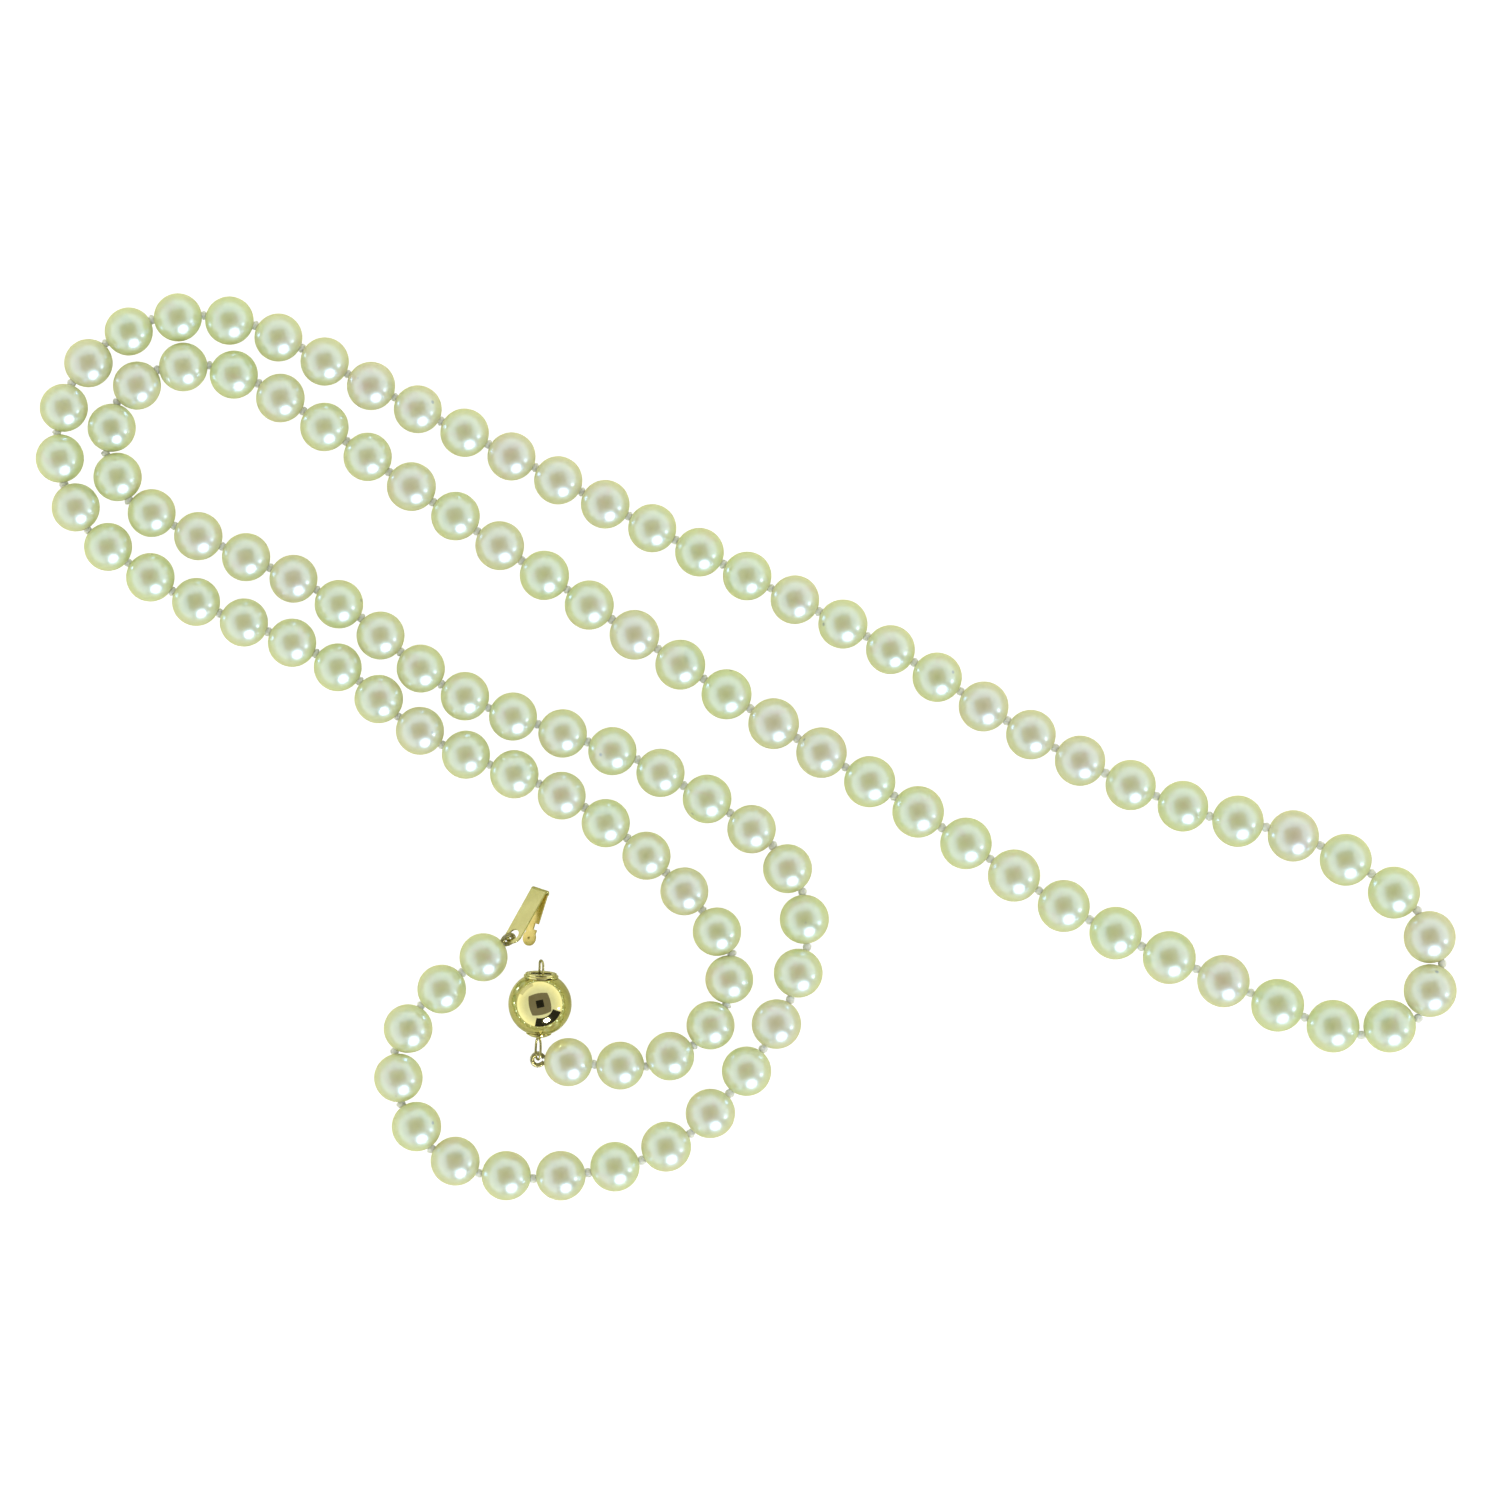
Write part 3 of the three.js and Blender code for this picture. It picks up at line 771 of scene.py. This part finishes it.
ball_lean = Matrix.Rotation(math.radians(-BALL_LEAN), 4, "Z")
ball_turn = ball_lean @ Matrix.Rotation(math.radians(BALL_TILT), 4, "X")
ball_link = ball_turn @ Vector((0, eyelet_bend, 0))
ball_centre = ball_middle + Vector((0, LOOP_RADIUS, 0)) - ball_link
ball_centre.z = BALL_RADIUS
ball_frame = Matrix.Translation(ball_centre) @ ball_turn
ball_axis = ball_frame @ Matrix.Rotation(math.radians(-90), 4, "X")  # its +Z is the ball's +Y


def rounded(profile, radius, steps=3):
    """A closed profile with each of its corners rounded off."""
    count = len(profile)
    out = []
    for i, (x, y) in enumerate(profile):
        here = Vector((x, y))
        before = Vector(profile[i - 1]) - here
        after = Vector(profile[(i + 1) % count]) - here
        cut = min(radius, before.length * 0.45, after.length * 0.45)
        start = here + before.normalized() * cut
        end = here + after.normalized() * cut
        for step in range(steps + 1):
            t = step / steps
            point = start.lerp(here, t).lerp(here.lerp(end, t), t)
            out.append((point.x, point.y))
    return out


def arc(radius, start, end, count):
    """(distance from the axis, height) round a sphere, between two angles from its bottom in degrees."""
    points = []
    for step in range(count + 1):
        angle = math.radians(start + (end - start) * step / count)
        points.append((radius * math.sin(angle), -radius * math.cos(angle)))
    return points


def up_to_mouth(radius, count):
    """Round a sphere from its bottom to the edge of the mouth."""
    return arc(radius, 0, 180 - math.degrees(math.asin(MOUTH_RADIUS / radius)), count)


def ball_shell():
    outside = up_to_mouth(BALL_RADIUS, BALL_RINGS)
    inside = up_to_mouth(BALL_RADIUS - BALL_WALL, BALL_INNER_RINGS)
    shape = Shape()
    shape.add(*turned([*outside, *reversed(inside)], BALL_SEGMENTS, ball_axis))
    return shape.piece("ball_shell_polished", gold)


def mouth_collar():
    """A ring on the ball, stepped in halfway up."""
    seat = math.sqrt(BALL_RADIUS**2 - COLLAR_RADIUS**2) + SEAT_GAP
    inner_seat = math.sqrt(BALL_RADIUS**2 - MOUTH_RADIUS**2) + INNER_SEAT_GAP
    step = (seat + COLLAR_TOP) / 2
    profile = [
        (MOUTH_RADIUS, inner_seat),
        (COLLAR_RADIUS, seat),
        (COLLAR_RADIUS + COLLAR_FLARE, step),
        (COLLAR_RADIUS - COLLAR_STEP, step + 0.06 * MM),
        (COLLAR_RADIUS - COLLAR_STEP, COLLAR_TOP),
        (MOUTH_RADIUS + 0.02 * MM, COLLAR_TOP),
    ]
    shape = Shape()
    shape.add(*turned_ring(rounded(profile, EDGE_ROUNDING), COLLAR_SEGMENTS, ball_axis))
    return shape.piece("mouth_collar_stepped", gold)


def plate_angles():
    """The directions of the plate's points, halfway between the ones that lie along its axes."""
    return [math.tau * (k + 0.5) / PLATE_SEGMENTS for k in range(PLATE_SEGMENTS)]


def rim_ring(scale, height):
    rim = (MOUTH_RADIUS - PLATE_GAP) * scale
    return [Vector((rim * math.cos(a), rim * math.sin(a), height)) for a in plate_angles()]


def slot_ring(scale, height):
    """The slot's rectangle, met by a line from the middle in each of the plate's directions."""
    half_wide, half_deep = SLOT[0] / 2, SLOT[1] / 2
    ring = []
    for angle in plate_angles():
        c, s = math.cos(angle), math.sin(angle)
        reach = min(half_wide / abs(c), half_deep / abs(s)) * scale
        ring.append(Vector((reach * c, reach * s, height)))
    return ring


def slot_plate():
    """The plate in the mouth, with its rim and the slot's edge softened."""
    under = COLLAR_TOP - PLATE_THICKNESS
    rings = [
        rim_ring(1.0, under),
        rim_ring(1.0, COLLAR_TOP - 0.04 * MM),
        rim_ring(0.97, COLLAR_TOP),
        slot_ring(1.04, COLLAR_TOP),
        slot_ring(1.0, COLLAR_TOP - 0.05 * MM),
        slot_ring(1.0, under),
    ]
    vertices = [ball_axis @ v for ring in rings for v in ring]
    faces = []
    for ring in range(len(rings)):
        here, there = ring * PLATE_SEGMENTS, (ring + 1) % len(rings) * PLATE_SEGMENTS
        for k in range(PLATE_SEGMENTS):
            after = (k + 1) % PLATE_SEGMENTS
            faces.append((here + k, here + after, there + after, there + k))
    shape = Shape()
    shape.add(vertices, faces)
    return shape.piece("slot_plate_pierced", gold)


def bent_wire(name, points, frame_of_wire):
    """A gold wire along a smooth line through given points."""
    line = centripetal([Vector(p) for p in points], WIRE_STEPS)
    shape = Shape()
    shape.add(*tube([frame_of_wire @ p for p in line], WIRE_RADIUS, WIRE_SIDES))
    return shape.piece(name, wire_gold)


def catch_staple():
    """The wire hoop over the slot that the tongue's notch catches on."""
    foot = COLLAR_TOP - 0.05 * MM
    shoulder = COLLAR_TOP + 0.04 * MM + STAPLE_HEIGHT - STAPLE_PEAK
    half = STAPLE_HALF
    middle = (foot + shoulder) / 2
    line = [
        (0, foot, half),
        (0, middle, half * 0.98),
        (0, shoulder, half * 0.9),
        (0, shoulder + STAPLE_PEAK * 0.75, half * 0.5),
        (0, shoulder + STAPLE_PEAK, -half * 0.35),
        (0, shoulder + STAPLE_PEAK * 0.4, -half * 0.95),
        (0, middle, -half),
        (0, foot, -half),
    ]
    turn = ball_frame @ Matrix.Rotation(math.radians(STAPLE_TURN), 4, "Y")
    return bent_wire("catch_staple_wire", line, turn)


def base_washer():
    seat = -math.sqrt(BALL_RADIUS**2 - WASHER_RADIUS**2) - SEAT_GAP
    profile = [
        (0, -BALL_RADIUS - WASHER_THICKNESS - 0.05 * MM),
        (WASHER_RADIUS * 0.3, -BALL_RADIUS - WASHER_THICKNESS - 0.03 * MM),
        (WASHER_RADIUS * 0.6, -BALL_RADIUS - 0.2 * MM),
        (WASHER_RADIUS * 0.95, seat - 0.2 * MM),
        (WASHER_RADIUS, seat - 0.12 * MM),
        (WASHER_RADIUS, seat - 0.03 * MM),
        (WASHER_RADIUS * 0.96, seat),
        (WASHER_RADIUS * 0.5, -BALL_RADIUS + 0.03 * MM),
        (0, -BALL_RADIUS - 0.08 * MM),
    ]
    shape = Shape()
    shape.add(*turned(profile, WASHER_SEGMENTS, ball_axis))
    return shape.piece("base_washer_dished", gold)


def ball_eyelet():
    """A U of wire soldered into the washer, with its feet drawn together."""
    half = EYELET_HALF
    foot = [(0, eyelet_foot + 0.12 * MM, half * 0.3), (0, eyelet_foot - 0.45 * MM, half * 0.85)]
    bend = []
    for degrees in range(0, 181, EYELET_BEND_STEP):
        angle = math.radians(degrees)
        bend.append((0, eyelet_bend - half * math.sin(angle), half * math.cos(angle)))
    other = [(x, y, -z) for x, y, z in reversed(foot)]
    turn = ball_frame @ Matrix.Rotation(math.radians(EYELET_TURN), 4, "Y")
    return bent_wire("ball_eyelet_wire", [*foot, *bend, *other], turn)


def ball_half():
    made = (
        (ball_shell(), "clasp_ball_shell", "gold"),
        (mouth_collar(), "clasp_mouth_collar", "gold"),
        (slot_plate(), "clasp_slot_plate", "gold"),
        (catch_staple(), "clasp_catch_staple", "wire_gold"),
        (base_washer(), "clasp_base_washer", "gold"),
        (ball_eyelet(), "clasp_ball_eyelet", "wire_gold"),
    )
    for piece, node, slot in made:
        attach(piece, "clasp_ball")
        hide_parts(node)


loop_pieces("ball_end", "ball_loop", ball_middle, ball_to_pearl, ball_side)
ball_half()

# ---- The tongue, in its own frame: +X from the hole to the fold, +Y to its left edge, +Z up ----

TONGUE_WIDTH = 2.7 * MM
TONGUE_THICKNESS = 0.28 * MM
TONGUE_LENGTH = 7.37 * MM
TONGUE_HOLE = 0.82 * MM
TONGUE_FOLD = 0.37 * MM
TONGUE_HEADING = 61
TONGUE_PITCH = 15
TONGUE_ROLL = 39
TONGUE_LIFT = 3.65 * MM
LEAF_ROOT = 2.5 * MM
LEAF_NECK = 1.7 * MM
LEAF_TAB = 6.6 * MM
TAB_RADIUS = 1.12 * MM
LEAF_OPENING = 23
NOTCH_AT = 4.8 * MM
NOTCH_LENGTH = 0.9 * MM
NOTCH_DEPTH = 0.65 * MM
DIMPLE_RADIUS = 0.28 * MM
DIMPLE_DEPTH = 0.1 * MM
DIMPLE_SEGMENTS = 32
DIMPLE_POLE = 6  # degrees that its round ends stop short of the axis
SHEET_EDGE = 0.04 * MM
SHARPEST_KEPT = 35  # degrees: edges that turn by more are rounded off
BEVEL_STEPS = 3
FOLD_STEPS = 24
END_STEPS = 44
END_INSET = 2  # degrees that the rounded end starts inside the strip's edges
HOLE_SIDES = 72
TAB_STEPS = 60

tongue_middle, tongue_to_pearl = loop_place(PEARL_COUNT, knots[PEARL_COUNT])
tongue_turn = (
    Matrix.Rotation(math.radians(TONGUE_HEADING), 4, "Z")
    @ Matrix.Rotation(math.radians(TONGUE_PITCH), 4, "Y")
    @ Matrix.Rotation(math.radians(-TONGUE_ROLL), 4, "X")
)
tongue_up = tongue_turn @ UP
tongue_side = off_axis(tongue_up, tongue_to_pearl)
rim_middle = (TONGUE_HOLE + TONGUE_WIDTH / 2) / 2
tongue_hole = tongue_middle + off_axis(-tongue_to_pearl, tongue_up) * rim_middle
tongue_hole.z = TONGUE_LIFT
tongue_frame = Matrix.Translation(tongue_hole) @ tongue_turn
leaf_frame = (
    tongue_frame
    @ Matrix.Translation((TONGUE_LENGTH, 0, -2 * TONGUE_FOLD))
    @ Matrix.Rotation(math.radians(-LEAF_OPENING), 4, "Y")
    @ Matrix.Rotation(math.pi, 4, "Z")
)


def circle_points(x, y, radius, start, end, count):
    """Points round a circle about (x, y), between two angles in degrees."""
    points = []
    for step in range(count + 1):
        angle = math.radians(start + (end - start) * step / count)
        points.append((x + radius * math.cos(angle), y + radius * math.sin(angle)))
    return points


def prism(outline, low, high, lift):
    """A closed outline given thickness. lift turns its two numbers and a height into a point."""
    count = len(outline)
    vertices = [lift(a, b, level) for level in (low, high) for a, b in outline]
    faces = [tuple(reversed(range(count))), tuple(range(count, 2 * count))]
    for i in range(count):
        j = (i + 1) % count
        faces.append((i, j, count + j, count + i))
    return vertices, faces


def apply_modifiers(piece):
    evaluated = piece.evaluated_get(bpy.context.evaluated_depsgraph_get())
    mesh = bpy.data.meshes.new_from_object(evaluated)
    piece.modifiers.clear()
    piece.data = mesh


def cut_away(piece, cutter, how):
    """Applies a boolean with the cutter, and removes the cutter."""
    modifier = piece.modifiers.new("cut", "BOOLEAN")
    modifier.object = cutter
    modifier.operation = how
    modifier.solver = "EXACT"
    apply_modifiers(piece)
    bpy.data.objects.remove(cutter)


def soften_edges(piece, width):
    """Rounds the sharp edges off and keeps the flats flat."""
    bevel = piece.modifiers.new("edges", "BEVEL")
    bevel.width = width
    bevel.segments = BEVEL_STEPS
    bevel.limit_method = "ANGLE"
    bevel.angle_limit = math.radians(SHARPEST_KEPT)
    flats = piece.modifiers.new("flats", "WEIGHTED_NORMAL")
    flats.keep_sharp = True
    apply_modifiers(piece)


def flat_to_tongue(x, y, z):
    """Lifts an outline drawn on the strip's face."""
    return tongue_frame @ Vector((x, y, z))


def side_to_tongue(x, z, y):
    """Lifts an outline drawn on the strip's side."""
    return tongue_frame @ Vector((x, y, z))


def flat_to_leaf(x, y, z):
    """Lifts an outline drawn on the leaf's face."""
    return leaf_frame @ Vector((x, y, z))


def tongue_strip():
    """The strip's side view bent round its fold, then its end rounded and its hole punched."""
    half = TONGUE_THICKNESS / 2
    wide = TONGUE_WIDTH
    outer = circle_points(TONGUE_LENGTH, -TONGUE_FOLD, TONGUE_FOLD + half, 90, -90, FOLD_STEPS)
    inner = circle_points(TONGUE_LENGTH, -TONGUE_FOLD, TONGUE_FOLD - half, -90, 90, FOLD_STEPS)
    side = [(-wide, half), *outer, *inner, (-wide, -half)]
    shape = Shape()
    shape.add(*prism(side, wide / 2, -wide / 2, side_to_tongue))
    piece = shape.piece("tongue_strip_folded", tongue_gold)
    end = [(2 * TONGUE_LENGTH, wide), (0, wide), (0, wide / 2)]
    end += circle_points(0, 0, wide / 2, 90 + END_INSET, 270 - END_INSET, END_STEPS)
    end += [(0, -wide / 2), (0, -wide), (2 * TONGUE_LENGTH, -wide)]
    keep = Shape()
    keep.add(*prism(end, -wide, wide, flat_to_tongue))
    cut_away(piece, keep.piece("keep", gold), "INTERSECT")
    hole = circle_points(0, 0, TONGUE_HOLE, 0, 360 - 360 / HOLE_SIDES, HOLE_SIDES - 1)
    punch = Shape()
    punch.add(*prism(hole, -wide, wide, flat_to_tongue))
    cut_away(piece, punch.piece("punch", gold), "DIFFERENCE")
    soften_edges(piece, SHEET_EDGE)
    return piece


def leaf_edge(x):
    """Half the leaf's width at a distance from its root."""
    return (LEAF_ROOT + (LEAF_NECK - LEAF_ROOT) * x / LEAF_TAB) / 2


def spring_leaf():
    """The leaf narrows to its neck, which is notched on one side, and ends in a round dimpled tab."""
    join = math.degrees(math.acos(LEAF_NECK / 2 / TAB_RADIUS))
    near, far = NOTCH_AT - NOTCH_LENGTH / 2, NOTCH_AT + NOTCH_LENGTH / 2
    outline = [(0, -leaf_edge(0))]
    outline += circle_points(LEAF_TAB, 0, TAB_RADIUS, -90 - join, 90 + join, TAB_STEPS)
    outline += [
        (far, leaf_edge(far)),
        (far, leaf_edge(far) - NOTCH_DEPTH),
        (near, leaf_edge(near) - NOTCH_DEPTH),
        (near, leaf_edge(near)),
        (0, leaf_edge(0)),
    ]
    half = TONGUE_THICKNESS / 2
    shape = Shape()
    shape.add(*prism(outline, -half, half, flat_to_leaf))
    piece = shape.piece("spring_leaf_tab", leaf_gold)
    dimple = Shape()
    round_side = arc(DIMPLE_RADIUS, DIMPLE_POLE, 180 - DIMPLE_POLE, 20)
    ball = [(0, -DIMPLE_RADIUS), *round_side, (0, DIMPLE_RADIUS)]
    over = leaf_frame @ Matrix.Translation((LEAF_TAB, 0, half + DIMPLE_RADIUS - DIMPLE_DEPTH))
    dimple.add(*turned(ball, DIMPLE_SEGMENTS, over))
    cut_away(piece, dimple.piece("dimple", leaf_gold), "DIFFERENCE")
    soften_edges(piece, SHEET_EDGE)
    return piece


def tongue_half():
    strip = tongue_strip()
    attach(strip, "clasp_tongue")
    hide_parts("clasp_tongue_strip")
    leaf = spring_leaf()
    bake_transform(leaf)
    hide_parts("clasp_spring_leaf")


loop_pieces("tongue_end", "tongue_loop", tongue_middle, tongue_to_pearl, tongue_side)
tongue_half()

# ---- The studio ----

FLOOR_SIZE = 3.0
FLOOR_LEVEL = -0.006  # below the table plane, as the strand dips 5 mm under it with every joint at its upper limit
FLOOR_GLOW = 0.96
FLOOR_SHADE = (0.25, 0.25, 0.25)
FLOOR_BOUNCE = (0.97, 0.96, 0.66)
SKY_TOP = (1.03, 1.07, 1.09)
SKY_HORIZON = (1.58, 1.58, 1.42)
SKY_FADE = 0.6  # the height on a unit sphere at which the sky reaches its top colour
CARD_HEIGHT = 1.0
CARD_HALF = 0.85
CARD_TURN = 12
OVERHEAD_GREY = (0.25, 0.23, 0.22)
LENS_HALF = 0.24
LENS_DROP = 0.02
LENS_BLACK = (0.02, 0.02, 0.02)
PANEL_DISTANCE = 1.5
PANEL_TOP = 1.15
PANEL_FROM = -104
PANEL_TO = -22
PANEL_STEPS = 8
PANEL_BLACK = (0.03, 0.03, 0.03)
SIDE_AZIMUTH = 133
SIDE_HALF_WIDTH = 0.6
SIDE_HALF_HEIGHT = 0.24
SIDE_MIDDLE = 0.2
SIDE_GREY = (0.95, 0.95, 0.86)
LAMP_DISTANCE = 1.35
KEY_LAMP = {"azimuth": -68, "zenith": 67, "width": 0.42, "height": 0.32, "power": 34.0}
SECOND_LAMP = {"azimuth": -15, "zenith": 76, "width": 0.10, "height": 0.22, "power": 1.2}


def stage_card(name, corners, material, camera_sees):
    mesh = bpy.data.meshes.new(name)
    mesh.from_pydata([tuple(c) for c in corners], [], [tuple(range(len(corners)))])
    mesh.materials.append(material)
    card = bpy.data.objects.new(name, mesh)
    bpy.context.scene.collection.objects.link(card)
    card.visible_camera = camera_sees
    card.visible_shadow = camera_sees
    return card


def glow(name, colour):
    """A material that gives off one even colour."""
    material = bpy.data.materials.new(name)
    material.use_nodes = True
    tree = material.node_tree
    tree.nodes.clear()
    output = tree.nodes.new("ShaderNodeOutputMaterial")
    emission = tree.nodes.new("ShaderNodeEmission")
    emission.inputs["Color"].default_value = (*colour, 1)
    tree.links.new(emission.outputs[0], output.inputs["Surface"])
    return material


def floor_material():
    """White to the camera, and warm in the light that it sends back up."""
    material = bpy.data.materials.new("floor")
    material.use_nodes = True
    tree = material.node_tree
    tree.nodes.clear()
    output = tree.nodes.new("ShaderNodeOutputMaterial")
    white = tree.nodes.new("ShaderNodeEmission")
    white.inputs["Strength"].default_value = FLOOR_GLOW
    shaded = tree.nodes.new("ShaderNodeBsdfDiffuse")
    shaded.inputs["Color"].default_value = (*FLOOR_SHADE, 1)
    seen = tree.nodes.new("ShaderNodeAddShader")
    bounce = tree.nodes.new("ShaderNodeBsdfDiffuse")
    bounce.inputs["Color"].default_value = (*FLOOR_BOUNCE, 1)
    path = tree.nodes.new("ShaderNodeLightPath")
    choose = tree.nodes.new("ShaderNodeMixShader")
    tree.links.new(white.outputs[0], seen.inputs[0])
    tree.links.new(shaded.outputs[0], seen.inputs[1])
    tree.links.new(path.outputs["Is Camera Ray"], choose.inputs["Fac"])
    tree.links.new(bounce.outputs[0], choose.inputs[1])
    tree.links.new(seen.outputs[0], choose.inputs[2])
    tree.links.new(choose.outputs[0], output.inputs["Surface"])
    return material


def rectangle(centre, across, up_by):
    low, high = centre - up_by, centre + up_by
    return [low - across, low + across, high + across, high - across]


def towards(azimuth, zenith, distance):
    """The point at a distance from the middle of the table, in a direction given in degrees."""
    a, z = math.radians(azimuth), math.radians(zenith)
    return Vector((math.sin(z) * math.cos(a), math.sin(z) * math.sin(a), math.cos(z))) * distance


def add_lamp(name, azimuth, zenith, width, height, power):
    """An oval lamp aimed at the table, for glossy reflections only: it doesn't light matt surfaces."""
    data = bpy.data.lights.new(name, "AREA")
    data.shape = "ELLIPSE"
    data.size = width
    data.size_y = height
    data.energy = power
    lamp = bpy.data.objects.new(name, data)
    lamp.location = towards(azimuth, zenith, LAMP_DISTANCE)
    lamp.rotation_mode = "QUATERNION"
    lamp.rotation_quaternion = (-lamp.location).to_track_quat("-Z", "Y")
    lamp.visible_camera = False
    lamp.visible_diffuse = False
    bpy.context.scene.collection.objects.link(lamp)


def add_sky():
    """A soft white tent, warmer and brighter towards the horizon."""
    world = bpy.data.worlds.new("world")
    world.use_nodes = True
    nodes, links = world.node_tree.nodes, world.node_tree.links
    place = nodes.new("ShaderNodeTexCoord")
    split = nodes.new("ShaderNodeSeparateXYZ")
    fade = nodes.new("ShaderNodeMapRange")
    fade.inputs["From Max"].default_value = SKY_FADE
    colour = nodes.new("ShaderNodeMix")
    colour.data_type = "RGBA"
    horizon, top = (s for s in colour.inputs if s.type == "RGBA")
    horizon.default_value = (*SKY_HORIZON, 1)
    top.default_value = (*SKY_TOP, 1)
    links.new(place.outputs["Generated"], split.inputs["Vector"])
    links.new(split.outputs["Z"], fade.inputs["Value"])
    links.new(fade.outputs["Result"], colour.inputs[0])
    mixed = next(s for s in colour.outputs if s.type == "RGBA")
    links.new(mixed, nodes["Background"].inputs["Color"])
    bpy.context.scene.world = world


def add_dark_panel():
    """A curved black screen round one side of the table, seen only in reflections, behind the lamps."""
    shape = []
    for level in (0.0, PANEL_TOP):
        for step in range(PANEL_STEPS + 1):
            azimuth = math.radians(PANEL_FROM + (PANEL_TO - PANEL_FROM) * step / PANEL_STEPS)
            point = Vector((math.cos(azimuth), math.sin(azimuth), 0)) * PANEL_DISTANCE
            shape.append(point + UP * level)
    count = PANEL_STEPS + 1
    faces = [(k, k + 1, count + k + 1, count + k) for k in range(PANEL_STEPS)]
    panel = new_piece("dark_panel", shape, faces, glow("panel_black", PANEL_BLACK))
    panel.visible_camera = False
    panel.visible_diffuse = False
    panel.visible_shadow = False


def add_side_card():
    """A pale card low down, opposite the dark panel, that the clasp's flat tongue reflects."""
    way = towards(SIDE_AZIMUTH, 90, 1)
    across = way.cross(UP) * SIDE_HALF_WIDTH
    middle = way * PANEL_DISTANCE + UP * SIDE_MIDDLE
    corners = rectangle(middle, across, UP * SIDE_HALF_HEIGHT)
    card = stage_card("side_card", corners, glow("side_grey", SIDE_GREY), False)
    card.visible_diffuse = False


def add_floor():
    half = FLOOR_SIZE / 2
    across, up_by = Vector((half, 0, 0)), Vector((0, half, 0))
    corners = rectangle(UP * FLOOR_LEVEL, across, up_by)
    stage_card("floor", corners, floor_material(), True)


def add_overhead_cards():
    """A grey card over the table, and a black one under its middle, where a real camera would be dark."""
    overhead = UP * CARD_HEIGHT
    turn = Matrix.Rotation(math.radians(CARD_TURN), 3, "Z")
    across, up_by = turn @ Vector((1, 0, 0)), turn @ Vector((0, 1, 0))
    card = rectangle(overhead, across * CARD_HALF, up_by * CARD_HALF)
    stage_card("overhead_card", card, glow("overhead_grey", OVERHEAD_GREY), False)
    lens = rectangle(overhead - UP * LENS_DROP, across * LENS_HALF, up_by * LENS_HALF)
    stage_card("lens_shade", lens, glow("lens_black", LENS_BLACK), False)


def build_studio():
    add_sky()
    add_side_card()
    add_floor()
    add_overhead_cards()
    add_dark_panel()
    add_lamp("key_lamp", **KEY_LAMP)
    add_lamp("second_lamp", **SECOND_LAMP)


build_studio()
bpy.context.scene.view_settings.view_transform = "Standard"
